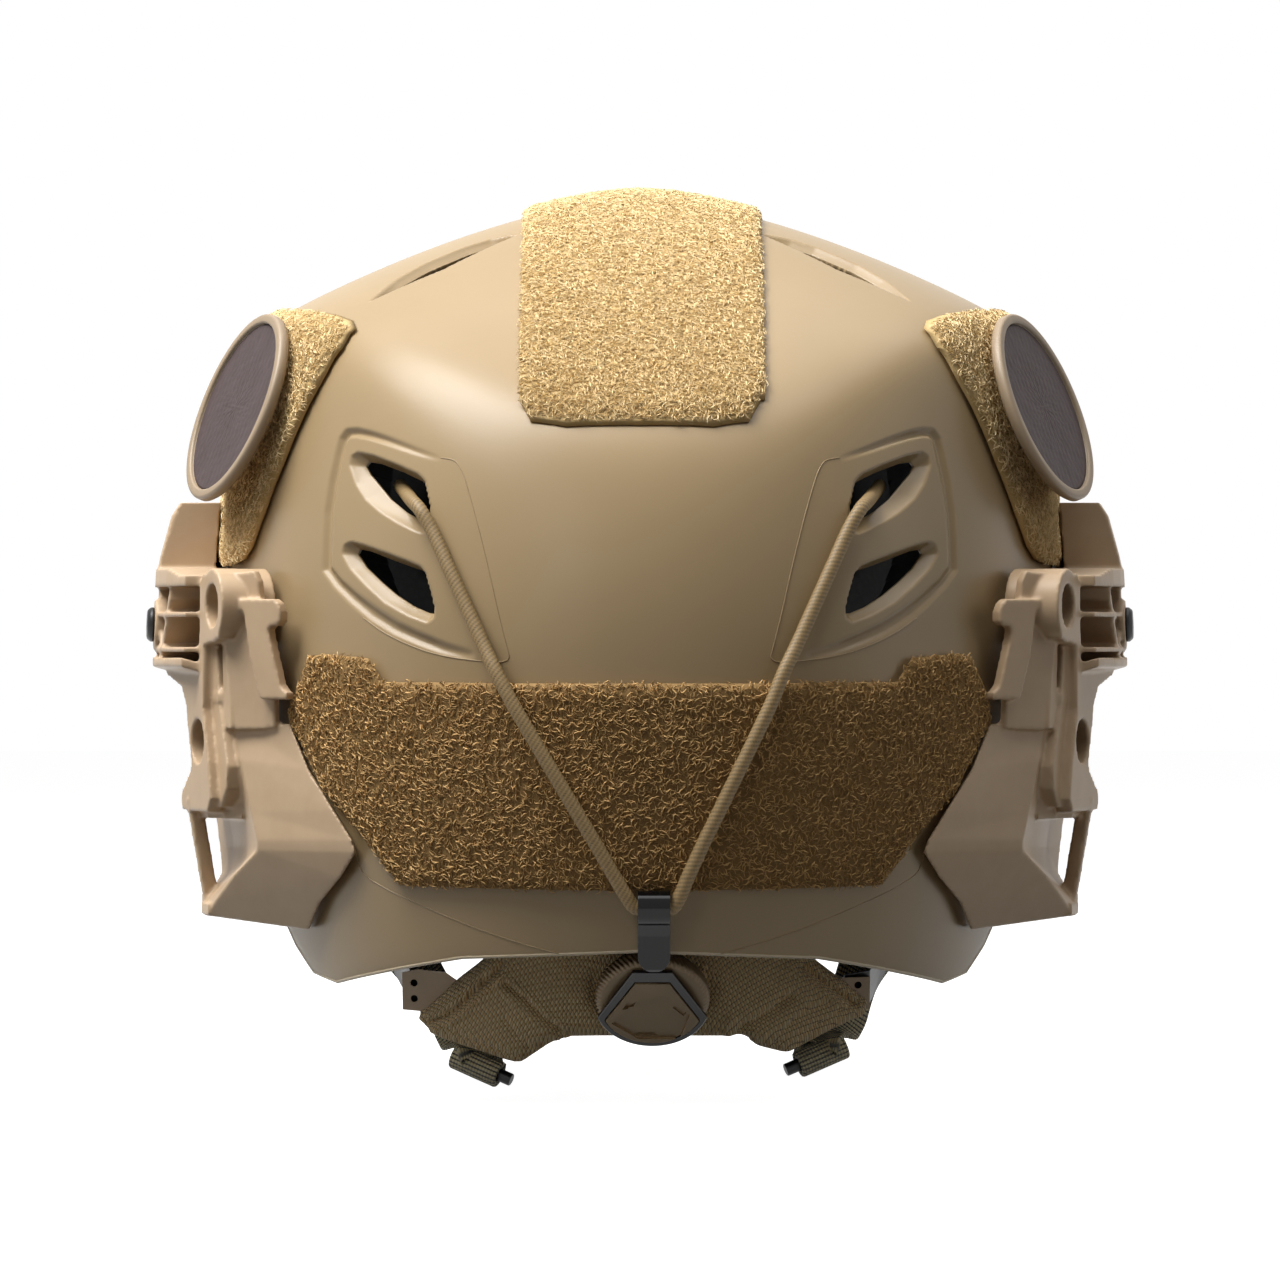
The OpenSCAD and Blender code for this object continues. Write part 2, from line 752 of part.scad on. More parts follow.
module shroud_screws() {
    color(soft_black)
        for (p = shroud_screws_at)
            on_front(p[0], p[1], patch_off + shroud_t - screw_grip + 0.1)
                difference() {
                    cylinder(d = screw_d, h = screw_grip, $fn = 32);
                    translate([0, 0, screw_grip - 1.4])
                        cylinder(d = 3, h = 2, $fn = 6);
                }
}

// Shock cord and its hook

// Left leg of the cord: distance from the middle, height, and height off the shell
cord_leg = [
    [-59, 75.5, -12], [-57.8, 74, -7], [-56.6, 72.6, -3], [-55.4, 71.2, 0.6], [-53.4, 69, 3], [-50.4, 63.8, 2.4],
    [-46.2, 54.6, 2.2], [-42, 45.4, 2.2], [-37.8, 36.2, 3], [-34.6, 29.6, 4.4], [-30.6, 22, 5], [-25.8, 13.8, 5],
    [-20.8, 5.4, 5], [-15.8, -3, 5], [-10.8, -11.4, 5], [-6.4, -19, 5.1], [-3.4, -24, 5.3]
];
hook_x = 3.4;
hook_z = -27;
hook_off = 5.4;
barrel_bore = 5;
barrel_d = 8.4;

function along_hook(x) = let (p = back_at(0, hook_z, hook_off)) [x, p[1], hook_z];
cord_points = concat(
    [for (p = cord_leg) back_at(p[0], p[1], p[2])],
    [along_hook(-0.9), along_hook(hook_x), along_hook(7.7)],
    [for (i = [len(cord_leg) - 1 : -1 : 0]) let (p = cord_leg[i]) back_at(-p[0] + max(0, i - 9) * 0.9, p[1], p[2])]
);

// A round cord swept along its points
module tube(points, d, sides = 8) {
    n = len(points);
    function heading(i) =
        let (a = points[max(0, i - 1)], b = points[min(n - 1, i + 1)])
        (b - a) / norm(b - a);
    rings = [
        for (i = [0 : n - 1])
            let (
                t = heading(i),
                side = cross(t, [0, 1, 0]),
                u = side / norm(side),
                v = cross(u, t)
            )
            each [for (k = [0 : sides - 1]) points[i] + d / 2 * (cos(360 * k / sides) * u + sin(360 * k / sides) * v)]
    ];
    faces = [
        for (i = [0 : n - 2], k = [0 : sides - 1])
            let (a = i * sides + k, b = i * sides + (k + 1) % sides)
            each [[a, b, a + sides], [b, b + sides, a + sides]],
        for (k = [1 : sides - 2])
            each [[0, k + 1, k], [(n - 1) * sides, (n - 1) * sides + k, (n - 1) * sides + k + 1]]
    ];
    polyhedron(rings, faces);
}

module shock_cord() {
    color("#8f7a52")
        tube(cord_points, cord_d);
}

// Height of the saddle that bears on the rim, and the thickness of the finger under it
saddle_z = -38.5;
finger_t = 1.9;

module cord_hook() {
    bar = along_hook(0)[1];
    wall_y = back_at(0, saddle_z)[1];
    inside_y = wall_y + shell_wall + seat_gap + 0.3;
    color(soft_black)
        difference() {
            union() {
                translate([hook_x - hook_w / 2, bar, hook_z])
                    rotate([0, 90, 0])
                        cylinder(d = barrel_d, h = hook_w, $fn = 40);
                intersection() {
                    translate([hook_x + hook_w / 2, 0, 0])
                        rotate([90, 0, -90])
                            linear_extrude(height = hook_w)
                                polygon([
                                    [-bar + barrel_d / 2, hook_z], [-wall_y + 4.2, -34], [-wall_y + 3.2, saddle_z - 1.4],
                                    [-wall_y + 2.2, saddle_z - 3.6], [-wall_y + 1.2, saddle_z - 4.2],
                                    [-wall_y - 0.4, saddle_z - finger_t], [-inside_y, saddle_z - finger_t],
                                    [-inside_y - 1, saddle_z - finger_t + 1], [-inside_y - 1, saddle_z + 1.6],
                                    [-inside_y, saddle_z + 1.6], [-inside_y, saddle_z], [-wall_y + 0.5, saddle_z],
                                    [-wall_y + 1, -35], [-bar - 2, hook_z - 3]
                                ]);
                    translate([hook_x, -100, 0])
                        rotate([90, 0, 0])
                            linear_extrude(height = 60)
                                hull() {
                                    translate([0, hook_z])
                                        square([hook_w, 1], center = true);
                                    translate([0, saddle_z - 0.4])
                                        circle(d = hook_w, $fn = 40);
                                }
                }
            }
            translate([hook_x - hook_w, bar, hook_z])
                rotate([0, 90, 0])
                    cylinder(d = barrel_bore, h = 2 * hook_w, $fn = 40);
        }
}

// Nape pad, with the fit yoke in its pocket

pad_columns = [
    [-54.5, -57, -54], [-50.7, -60.7, -51.5], [-45, -62.6, -46], [-40, -64, -42], [-33, -66.3, -36], [-29.6, -67, -33],
    [-22.5, -61.9, -31.6], [-18.4, -60, -31.6], [0, -59.7, -31.6], [21.3, -60, -31.6], [25.7, -59.3, -31.6],
    [29.1, -62.7, -32], [36.5, -64.6, -36], [48.2, -58.5, -45], [56.3, -55.5, -51.4]
];
pad_depth = 11;
yoke_t = 2;
yoke_columns = [
    [-59, -54.4, -45], [-55, -54.6, -44], [-48, -55.4, -44.6], [-43, -57, -48], [-34, -58.5, -45], [-22, -56.5, -40],
    [-8, -54, -36], [8, -54, -36], [22, -56.5, -40], [34, -58.5, -45], [43, -57, -48], [48, -55.4, -46], [57, -54, -46]
];
nape_y = -121.5;
function nape(x, z, depth = 0) = [x, nape_y + x * x / 140 + 0.55 * (-25 - z) + depth, z];

// The dial is drawn along its own axis, from its seat on the yoke to its face
dial_face = [dial_x, -116.4, -51.6];
base_d = 23;
base_seat_d = 17;
base_t = 2.8;
knob_low = base_t + 0.8;
knob_top = knob_low + collar_h;
cap_t = 1.4;
module at_dial(rise = 0) {
    translate(dial_face)
        rotate([90 + dial_tilt, 0, 0])
            translate([0, 0, rise - knob_top - cap_t])
                children();
}

yoke_boss_d = 12;
yoke_boss_h = 6;
seat_recess_d = dial_d + 4;

module yoke_plate(grow = 0) {
    function widen(c) = [c[0], c[1] - grow, c[2] + grow];
    columns = [for (c = yoke_columns) widen(c)];
    slab(
        grid(columns, 2, function(x, z) nape(x, z, pad_depth * 0.45 - grow)),
        grid(columns, 2, function(x, z) nape(x, z, pad_depth * 0.45 + yoke_t + grow))
    );
}

module fit_cradle() {
    color(rail_tan)
        difference() {
            union() {
                yoke_plate();
                at_dial(-yoke_boss_h)
                    cylinder(d = yoke_boss_d, h = yoke_boss_h - 0.1, $fn = 48);
            }
            for (p = [[-56, -47.5], [-56, -51.5], [54, -48], [54, -51.5]])
                translate([p[0], nape(p[0], p[1])[1], p[1]])
                    rotate([-90, 0, 0])
                        cylinder(d = 1.8, h = 12, $fn = 24);
        }
}

module nape_pad() {
    color("#4e3f31")
        difference() {
            slab(
                swelling(pad_columns, 8, function(x, z, off) nape(x, z, -off), -2.2, 0),
                swelling(pad_columns, 8, function(x, z, off) nape(x, z, off), pad_depth - 3, pad_depth)
            );
            yoke_plate(0.35);
            for (side = [-1, 1])
                slab(
                    grid([[side * 49.4, -60, -40], [side * 60, -60, -40]], 1, function(x, z) nape(x, z, pad_depth * 0.45 + 1)),
                    grid([[side * 49.4, -60, -40], [side * 60, -60, -40]], 1, function(x, z) nape(x, z, pad_depth + 4))
                );
            at_dial(-yoke_boss_h - 0.4)
                cylinder(d = yoke_boss_d + 0.8, h = 14, $fn = 48);
            at_dial(0)
                cylinder(d = seat_recess_d, h = 20, $fn = 64);
        }
}

// Fit arms and their guides. Each arm leaves the yoke, rises inside the liner and ends in a
// straight blade along Y. Drawn for the wearer's right.

arm_off = liner_in - 2;
arm_thick = 2;
blade_x = half_w - 22.6;
blade_low = 34;
blade_high = 48;
blade_end = 2;
guide_rear = -10;
guide_front = 16;
// Columns of an arm: angle from the back, low edge, high edge
arm_root_columns = [[50.5, -53.4, -45.4], [57, -53, -44.4]];
fit_arm_columns = [
    [41, -50, -38], [46, -40, -28], [51, -28, -15], [56, -15, -1], [61, 0, 14], [64, 12, 26], [67, 24, 38]
];
blade_start = -26;
blade_columns = [[blade_start, 34, 48], [-18, blade_low, blade_high], [blade_end, blade_low, blade_high]];

module fit_arm() {
    function at(az, z, off) = skin(270 + az, z, off);
    root_depth = pad_depth * 0.45 + yoke_t + 0.3;
    root = grid(arm_root_columns, 2, function(x, z) nape(x, z, root_depth));
    root_in = grid(arm_root_columns, 2, function(x, z) nape(x, z, root_depth + arm_thick));
    rising = grid(fit_arm_columns, 2, function(az, z) at(az, z, arm_off));
    rising_in = grid(fit_arm_columns, 2, function(az, z) at(az, z, arm_off - arm_thick));
    blade = grid(blade_columns, 2, function(y, z) [blade_x, y, z]);
    blade_in = grid(blade_columns, 2, function(y, z) [blade_x - arm_thick, y, z]);
    color(soft_black)
        slab(concat(root, rising, blade), concat(root_in, rising_in, blade_in));
}

module fit_arm_right() fit_arm();
module fit_arm_left() mirror([1, 0, 0]) fit_arm();

module arm_guides() {
    color(soft_black)
        for (side = [0, 1])
            mirror([side, 0, 0])
                difference() {
                    translate([blade_x - arm_thick - run_gap - 1.8, guide_rear, blade_low - run_gap - 2])
                        cube([arm_thick + 2 * run_gap + 3.6, guide_front - guide_rear, blade_high - blade_low + 2 * run_gap + 4]);
                    translate([blade_x - arm_thick - run_gap, guide_rear - 1, blade_low - run_gap])
                        cube([arm_thick + 2 * run_gap, guide_front - guide_rear + 2, blade_high - blade_low + 2 * run_gap]);
                }
}

// Fit dial, drawn along its own axis from the seat on the yoke

post_d = 6;
spool_d = 17;
spool_low = base_t + run_gap;
spool_h = 3.2;
drive_af = 11;
drive_top = knob_top - 0.6;

module dial_base() {
    color(soft_black)
        at_dial()
            difference() {
                union() {
                    cylinder(d1 = base_seat_d, d2 = base_d, h = base_t, $fn = 72);
                    cylinder(d = post_d, h = drive_top - 0.6, $fn = 48);
                }
                translate([0, 0, -1])
                    cylinder(d = 2.4, h = drive_top + 2, $fn = 32);
            }
}

module dial_spool() {
    color(soft_black)
        at_dial(spool_low)
            difference() {
                union() {
                    rotate_extrude($fn = 60)
                        polygon([
                            [post_d / 2 + run_gap, 0], [spool_d / 2, 0], [spool_d / 2, 0.7], [spool_d / 2 - 1.6, 1.1],
                            [spool_d / 2 - 1.6, spool_h - 1.1], [spool_d / 2, spool_h - 0.7], [spool_d / 2, spool_h],
                            [post_d / 2 + run_gap, spool_h]
                        ]);
                    cylinder(d = drive_af / cos(30), h = drive_top - spool_low, $fn = 6);
                }
                translate([0, 0, -1])
                    cylinder(d = post_d + 2 * run_gap, h = 20, $fn = 48);
            }
}

module dial_collar() {
    color("#7d6b52")
        at_dial(knob_low)
            difference() {
                union() {
                    rotate_extrude($fn = 84)
                        polygon([
                            [0, 0], [dial_d / 2 - 2.6, 0], [dial_d / 2 - 0.6, 3], [dial_d / 2 - 0.6, collar_h - 1],
                            [dial_d / 2 - 1.6, collar_h], [0, collar_h]
                        ]);
                    for (i = [0 : ridges - 1])
                        rotate([0, 0, i * 360 / ridges])
                            translate([dial_d / 2 - 0.6, 0, 2.4])
                                cylinder(d = 1.2, h = collar_h - 3.6, $fn = 12);
                }
                translate([0, 0, -1])
                    cylinder(d = spool_d + 2, h = spool_low + spool_h + run_gap - knob_low + 1, $fn = 60);
                translate([0, 0, -1])
                    cylinder(d = (drive_af + 2 * run_gap) / cos(30), h = 20, $fn = 6);
            }
}

// The face is round below, with two slanted sides and a flat top
face_sides = [[-4.7, 11.2], [4.7, 11.2], [13.6, -4.7], [13.6, -16], [-13.6, -16], [-13.6, -4.7]];
cap_sides = [[-4.2, 7.8], [4.2, 7.8], [11.9, -5.6], [11.9, -16], [-11.9, -16], [-11.9, -5.6]];
recess_sides = [[-3.6, 2], [2.6, 4], [9.2, -2.7], [6.7, -11], [-3.4, -11], [-10, -5.8]];

module face_shape(sides, r) {
    intersection() {
        circle(r = r, $fn = 72);
        polygon(sides);
    }
}

module dial_frame() {
    color(soft_black)
        at_dial(knob_top + 0.02)
            linear_extrude(height = cap_t)
                difference() {
                    face_shape(face_sides, dial_d / 2 - 0.3);
                    face_shape(cap_sides, dial_d / 2 - 1.7);
                }
}

module dial_cap() {
    color("#a28a66")
        at_dial(knob_top + 0.02)
            difference() {
                linear_extrude(height = cap_t + 0.3)
                    face_shape([for (p = cap_sides) p * 0.985], dial_d / 2 - 1.9);
                translate([0, 0, 1])
                    linear_extrude(height = 3)
                        polygon(recess_sides);
                translate([0, 0, 0.5])
                    linear_extrude(height = 3) {
                        polygon([[-7.4, -1.1], [-4.6, -0.6], [-3.8, 1.6], [-6.2, 1.2]]);
                        polygon([[4.9, -1], [6, 0], [8.6, -2], [7.6, -3.8]]);
                        polygon([[-4.5, -10.3], [-3.4, -9.2], [0.2, -9], [1.2, -10.3]]);
                    }
            }
}

// Straps: each rear strap is folded round a pin under the pad and rises inside the shell to a
// slider. A front strap runs from the slider to an anchor, and a chin strap hangs from it.

// Distance of the straps' upright run from the middle
strap_x = half_w - 21;
loop_w = 13;
pin_d = 3.2;
pin_gap = 0.4;
fold_r = pin_d / 2 + pin_gap + strap_t;
// Pin places: distance from the middle, height, turn about Z, and how far the pin stands out inward.
// The pins slant with the pad's lower edge.
pin_left = [-40.4, -68, 18, 3.2];
pin_right = [45, -65.6, -14, 3.4];
pin_slant = 22;
module at_pin(pin) {
    side = sign(pin[0]);
    translate([pin[0], pin_y(pin), pin[1]])
        rotate([0, 0, side * abs(pin[2])])
            rotate([0, -side * pin_slant, 0])
                children();
}

// A flat strap along a path of [centre, direction of its width]
module ribbon(path, w, t) {
    n = len(path);
    function heading(i) = path[min(n - 1, i + 1)][0] - path[max(0, i - 1)][0];
    function edge(i, side, face) =
        let (
            across = path[i][1] / norm(path[i][1]),
            out = cross(heading(i), across),
            normal = out / norm(out)
        )
        path[i][0] + across * side * w / 2 + normal * face * t / 2;
    slab(
        [for (i = [0 : n - 1]) [edge(i, -1, 1), edge(i, 0, 1), edge(i, 1, 1)]],
        [for (i = [0 : n - 1]) [edge(i, -1, -1), edge(i, 0, -1), edge(i, 1, -1)]]
    );
}

function pin_y(pin) = nape(pin[0], pin[1])[1] + 8;

// The mirrored path of a strap is given for the wearer's right
function strap_path(pin) =
    let (x = abs(pin[0]), y = pin_y(pin), z = pin[1], w = abs(pin[2]))
    [
        [[x - 0.6, y + 1.2, z + fold_r - 0.8], [cos(w), sin(w), 0.4]],
        [[x + 2.2, y + 4.6, z + 5.4], [cos(w), sin(w), 0.5]],
        [[x + 6.4, y + 7.6, z + 11], [0.9, 0.5, 0.6]],
        [[strap_x - 30, -66, -43], [0.8, 0.6, 0.6]],
        [[strap_x - 20, -53, -28], [0.5, 0.4, 0.8]],
        [[strap_x - 9.5, -40, -13], [0.25, -0.2, 1]],
        [[strap_x - 1.4, -34, -3], [0, -0.2, 1]],
        [[strap_x, -27, 0], [0, 0, 1]],
        [[strap_x, -9, 0], [0, 0, 1]]
    ];

module rear_strap(pin) {
    side = sign(pin[0]);
    color(webbing_olive) {
        at_pin(pin)
            rotate([90, 0, 90])
                linear_extrude(height = loop_w, center = true)
                    difference() {
                        circle(r = fold_r, $fn = 40);
                        circle(r = fold_r - strap_t, $fn = 40);
                    }
        mirror([side > 0 ? 0 : 1, 0, 0])
            ribbon(strap_path(pin), loop_w, strap_t);
    }
}

module rear_strap_left() rear_strap(pin_left);
module rear_strap_right() rear_strap(pin_right);

module strap_pins() {
    color(soft_black)
        for (pin = [pin_left, pin_right]) {
            side = sign(pin[0]);
            at_pin(pin)
                rotate([0, 90, 0])
                    translate([0, 0, -side * pin[3] / 2])
                        cylinder(d = pin_d, h = loop_w + pin[3], center = true, $fn = 36);
        }
}

slider_rear = -15;
slider_front = -1;

module strap_slider() {
    slot = strap_t + 2 * run_gap;
    color(soft_black)
        difference() {
            union() {
                translate([strap_x - 3.2, slider_rear, -12])
                    cube([6.4, slider_front - slider_rear, 22]);
                translate([strap_x - 1.6, slider_front - 1, 2])
                    cube([3.2, 7, 16]);
            }
            translate([strap_x - slot / 2, slider_rear - 1, -loop_w / 2 - run_gap])
                cube([slot, 30, loop_w + 2 * run_gap]);
            translate([strap_x - 4, slider_rear + 1.8, -10.8])
                cube([8, slider_front - slider_rear - 3.6, slot]);
            translate([strap_x - 4, slider_front + 1.6, 4])
                cube([8, slot + 0.4, 12]);
        }
}

module strap_slider_right() strap_slider();
module strap_slider_left() mirror([1, 0, 0]) strap_slider();

anchor_az = 38;
anchor_z = 27.6;
anchor_off = -shell_wall - seat_gap;

module front_strap() {
    slot_y = slider_front + 2.8;
    to = skin(anchor_az - 3.5, anchor_z - 2, anchor_off - 3.8);
    path = [
        [[strap_x - 3.1, slot_y, 10], [0, 0, 1]], [[strap_x - 1, slot_y, 10], [0, 0, 1]],
        [[strap_x + 2, slot_y, 10], [0, 0, 1]], [[strap_x + 3.4, slot_y + 1.6, 10], [0, 0, 1]],
        [[strap_x + 4, slot_y + 6, 10.4], [0, -0.1, 1]], [[strap_x + 5.5, 25, 14], [0, -0.3, 1]],
        [[strap_x + 5.6, 42, 20.6], [0, -0.3, 1]], [[strap_x + 5, 54, 25.6], [0, -0.2, 1]], [to, [0, 0, 1]]
    ];
    color(webbing_olive)
        ribbon(path, 10, strap_t);
}

module front_strap_right() front_strap();
module front_strap_left() mirror([1, 0, 0]) front_strap();

module strap_anchors() {
    seat = skin(anchor_az, anchor_z, anchor_off);
    ahead = skin(anchor_az + 1, anchor_z, anchor_off) - skin(anchor_az - 1, anchor_z, anchor_off);
    color(soft_black)
        for (side = [0, 1])
            mirror([side, 0, 0])
                translate(seat)
                    rotate([-90, 0, atan2(ahead[1], ahead[0])])
                        translate([0, 0, seat_gap + 0.3])
                            difference() {
                                union() {
                                    translate([-9, -3.8, 0])
                                        cube([18, 7.6, 2]);
                                    cylinder(d = 7, h = 3.4, $fn = 40);
                                }
                                translate([0, 0, 2])
                                    cylinder(d = 3, h = 3, $fn = 6);
                            }
}

// Chin strap, stowed up inside the brow. Its left part ends in the buckle's socket. Its right
// part goes round the chin cup to the buckle's plug.

chin_y = 96;
chin_start = [
    [[strap_x - 3.6, -8, -9.8], [0, 1, 0]], [[strap_x, -8, -9.8], [0, 1, 0]], [[strap_x + 4, -8, -9.8], [0, 1, 0]],
    [[strap_x + 5, -7.8, -12], [0, 1, 0.1]], [[strap_x + 4.8, -6.5, -15], [0.1, 1, 0.3]],
    [[strap_x + 3, 0, -20], [0.2, 0.6, 0.7]], [[strap_x, 11, -21], [0.1, 0.2, 1]], [[strap_x - 5, 28, -21], [0, 0, 1]]
];
chin_to_socket = [[[78.8, 46, -25], [0, 0, 1]], [[77.2, 51.2, -26.2], [0, 0, 1]], [[75.2, 53.8, -26.4], [0, 0, 1]]];
chin_to_plug = [
    for (p = [
        [73, 50, -23], [62, 69, -26], [46, 84, -29], [38, 90.8, -30.6], [30, 95.2, -31.8], [22, 97.7, -32.6],
        [12, 99, -33], [0, 99.5, -33], [-12, 99, -33], [-22, 97.7, -32.6], [-30, 95.2, -31.8],
        [-38, 90.8, -30.2], [-48, 82.8, -28.4], [-56.5, 75.2, -26.4], [-60.4, 70.7, -26.4]
    ])
        [p, [0, 0, 1]]
];

module chin_strap_right() {
    color(webbing_olive)
        ribbon(concat(chin_start, chin_to_plug), 9.6, strap_t);
}

module chin_strap_left() {
    color(webbing_olive)
        mirror([1, 0, 0])
            ribbon(concat(chin_start, chin_to_socket), 9.6, strap_t);
}

buckle_place = [-64, 66.6, -26.4];
buckle_turn = 49;

module at_buckle() {
    translate(buckle_place)
        rotate([0, 0, buckle_turn])
            children();
}

module buckle_socket() {
    color(soft_black)
        at_buckle()
            difference() {
                translate([-20, -3.4, -9])
                    cube([19, 6.8, 18]);
                translate([-13, -1.9, -6.4])
                    cube([20, 3.8, 12.8]);
                translate([-21, -1, -5.2])
                    cube([5, 2, 10.4]);
            }
}

module buckle_plug() {
    color(soft_black)
        at_buckle()
            difference() {
                union() {
                    translate([-0.6, -3.4, -9])
                        cube([9, 6.8, 18]);
                    translate([-12, -1.4, -5.8])
                        cube([13, 2.8, 11.6]);
                }
                translate([-9.4, -2, -3])
                    cube([6.4, 4, 6]);
                translate([4.4, -1, -5.2])
                    cube([5, 2, 10.4]);
            }
}

module chin_cup() {
    function at(x, z, depth) = [x, chin_y - x * x / 260 - depth, z];
    columns = [for (x = [-30 : 6 : 30]) [x, -46 + abs(x) / 5, -20 - abs(x) / 5]];
    color(soft_black)
        slab(
            swelling(columns, 5, function(x, z, off) at(x, z, off), -0.4, -2.4),
            swelling(columns, 5, function(x, z, off) at(x, z, off), 1, 4.6)
        );
}

shell();
impact_liner();
crown_pad();
front_pad();
side_pad_left();
side_pad_right();
rear_pad();
top_loop_patch();
rear_loop_patch();
side_loop_patch_left();
side_loop_patch_right();
round_patch_left();
round_patch_right();
rail_left();
rail_right();
rail_bolts_left();
rail_bolts_right();
front_shroud();
shroud_screws();
shock_cord();
cord_hook();
fit_cradle();
nape_pad();
fit_arm_left();
fit_arm_right();
arm_guides();
dial_base();
dial_spool();
dial_collar();
dial_frame();
dial_cap();
rear_strap_left();
rear_strap_right();
strap_pins();
strap_slider_left();
strap_slider_right();
front_strap_left();
front_strap_right();
strap_anchors();
chin_strap_left();
chin_strap_right();
chin_cup();
buckle_socket();
buckle_plug();
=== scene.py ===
# %% [markdown]
# # A vented bump helmet seen from behind
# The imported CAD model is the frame: every solid already sits in its place, in metres, with
# its joints. This file dresses that frame. It builds a finer mesh for each piece the eye
# meets, gives each one a finish worked out from the real material, and lets each mesh ride
# on the body that carries it.

# %% Load the frame
import json
import math
from contextlib import contextmanager

import bmesh
import bpy
import numpy as np
from mathutils import Matrix, Vector

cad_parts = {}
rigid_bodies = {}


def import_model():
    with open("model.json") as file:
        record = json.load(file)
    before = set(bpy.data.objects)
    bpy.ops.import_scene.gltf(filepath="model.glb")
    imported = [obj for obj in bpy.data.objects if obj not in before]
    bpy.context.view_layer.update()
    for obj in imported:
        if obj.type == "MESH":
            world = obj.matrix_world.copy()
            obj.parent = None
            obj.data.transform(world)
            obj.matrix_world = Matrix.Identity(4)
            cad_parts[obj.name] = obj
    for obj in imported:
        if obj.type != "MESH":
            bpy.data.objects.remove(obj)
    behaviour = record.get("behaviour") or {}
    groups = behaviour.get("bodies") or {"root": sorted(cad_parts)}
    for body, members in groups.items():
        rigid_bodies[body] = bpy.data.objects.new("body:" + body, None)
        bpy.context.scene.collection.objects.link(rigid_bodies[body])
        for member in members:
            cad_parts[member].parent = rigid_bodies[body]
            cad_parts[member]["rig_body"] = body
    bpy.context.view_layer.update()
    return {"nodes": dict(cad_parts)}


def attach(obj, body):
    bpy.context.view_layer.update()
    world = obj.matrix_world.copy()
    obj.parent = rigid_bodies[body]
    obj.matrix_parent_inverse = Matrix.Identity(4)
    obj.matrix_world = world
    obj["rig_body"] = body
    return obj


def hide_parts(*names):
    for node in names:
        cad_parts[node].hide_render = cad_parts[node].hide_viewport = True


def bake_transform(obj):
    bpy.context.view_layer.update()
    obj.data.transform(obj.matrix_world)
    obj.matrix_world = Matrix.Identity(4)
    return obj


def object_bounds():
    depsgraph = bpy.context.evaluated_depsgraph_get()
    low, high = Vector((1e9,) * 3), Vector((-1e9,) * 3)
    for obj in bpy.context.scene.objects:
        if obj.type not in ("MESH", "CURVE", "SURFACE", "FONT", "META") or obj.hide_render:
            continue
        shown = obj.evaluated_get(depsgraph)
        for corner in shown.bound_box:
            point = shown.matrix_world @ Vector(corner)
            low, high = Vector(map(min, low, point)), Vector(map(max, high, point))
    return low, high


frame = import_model()
MM = 0.001
scene = bpy.context.scene


def placed(name, data):
    """A new object at the origin, linked to the scene."""
    made = bpy.data.objects.new(name, data)
    scene.collection.objects.link(made)
    return made


def body_of(node):
    return frame["nodes"][node]["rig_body"]


print("nodes in the frame:", len(frame["nodes"]))

# %% [markdown]
# The photograph was taken with a long lens from straight behind, level with the middle of
# the shell. A camera 2 m away with a narrow angle gives the same flat perspective, and its
# lens follows from how many pixels the shell's known width covers.

# %% Camera
SENSOR_MM = 36
CAMERA_DISTANCE = 2.0  # metres, as the next two
CAMERA_HEIGHT = 0.03747
FRAME_WIDTH = 0.3307
camera_data = bpy.data.cameras.new("photo_camera")
camera_data.sensor_width = SENSOR_MM
camera_data.lens = SENSOR_MM * CAMERA_DISTANCE / FRAME_WIDTH
camera_data.clip_start = 0.05
camera_data.clip_end = 50
camera = placed("photo_camera", camera_data)
camera.location = (0, -CAMERA_DISTANCE, CAMERA_HEIGHT)
camera.rotation_euler = (math.radians(90), 0, 0)
scene.camera = camera
scene.view_settings.view_transform = "Standard"
print("lens in mm:", round(camera_data.lens, 1))

# %% [markdown]
# The shell, its liner, pads and patches are all layers of one surface. Ported from the
# part's source, `skin` gives that surface at an angle and a height, any distance outside
# it. Keeping the rule instead of its points lets each layer choose its own fineness.

# %% The skin of the shell
HALF_W, REAR, FRONT, TOP = 107, 137, 135, 151.5
WIDEST_Z = 25
WALL_T = 3.2
RIM = [
    (0, -38), (20, -40), (33, -44.5), (42, -47.5), (48, -45.5), (52, -39), (56, -28),
    (61, -10), (66, 8), (72, 18), (80, 24), (95, 26.5), (108, 26), (118, 24), (128, 22),
    (145, 24), (165, 28.5), (180, 30),
]
SIDE_LEAN, REAR_LEAN, FRONT_LEAN, LEAN_SPAN = 8, 28, 20, 93
SIDE_TUCK, REAR_TUCK, TUCK_SPAN = 10, 7, 68
ROOF_FALL, ROOF_POWER, ROOF_REAR, ROOF_FRONT = 39, 1.55, 0.866, 0.917
WALL_SHAPE, ROOF_SHAPE, BLEND = 2.1, 2.8, 24.0


def lean(z, top, low):
    """How far the wall has drawn in at a height, above and below its widest level."""
    above = z - WIDEST_Z
    drawn = top * (above / LEAN_SPAN) ** 2, low * (above / TUCK_SPAN) ** 2
    return np.where(above > 0, *drawn)


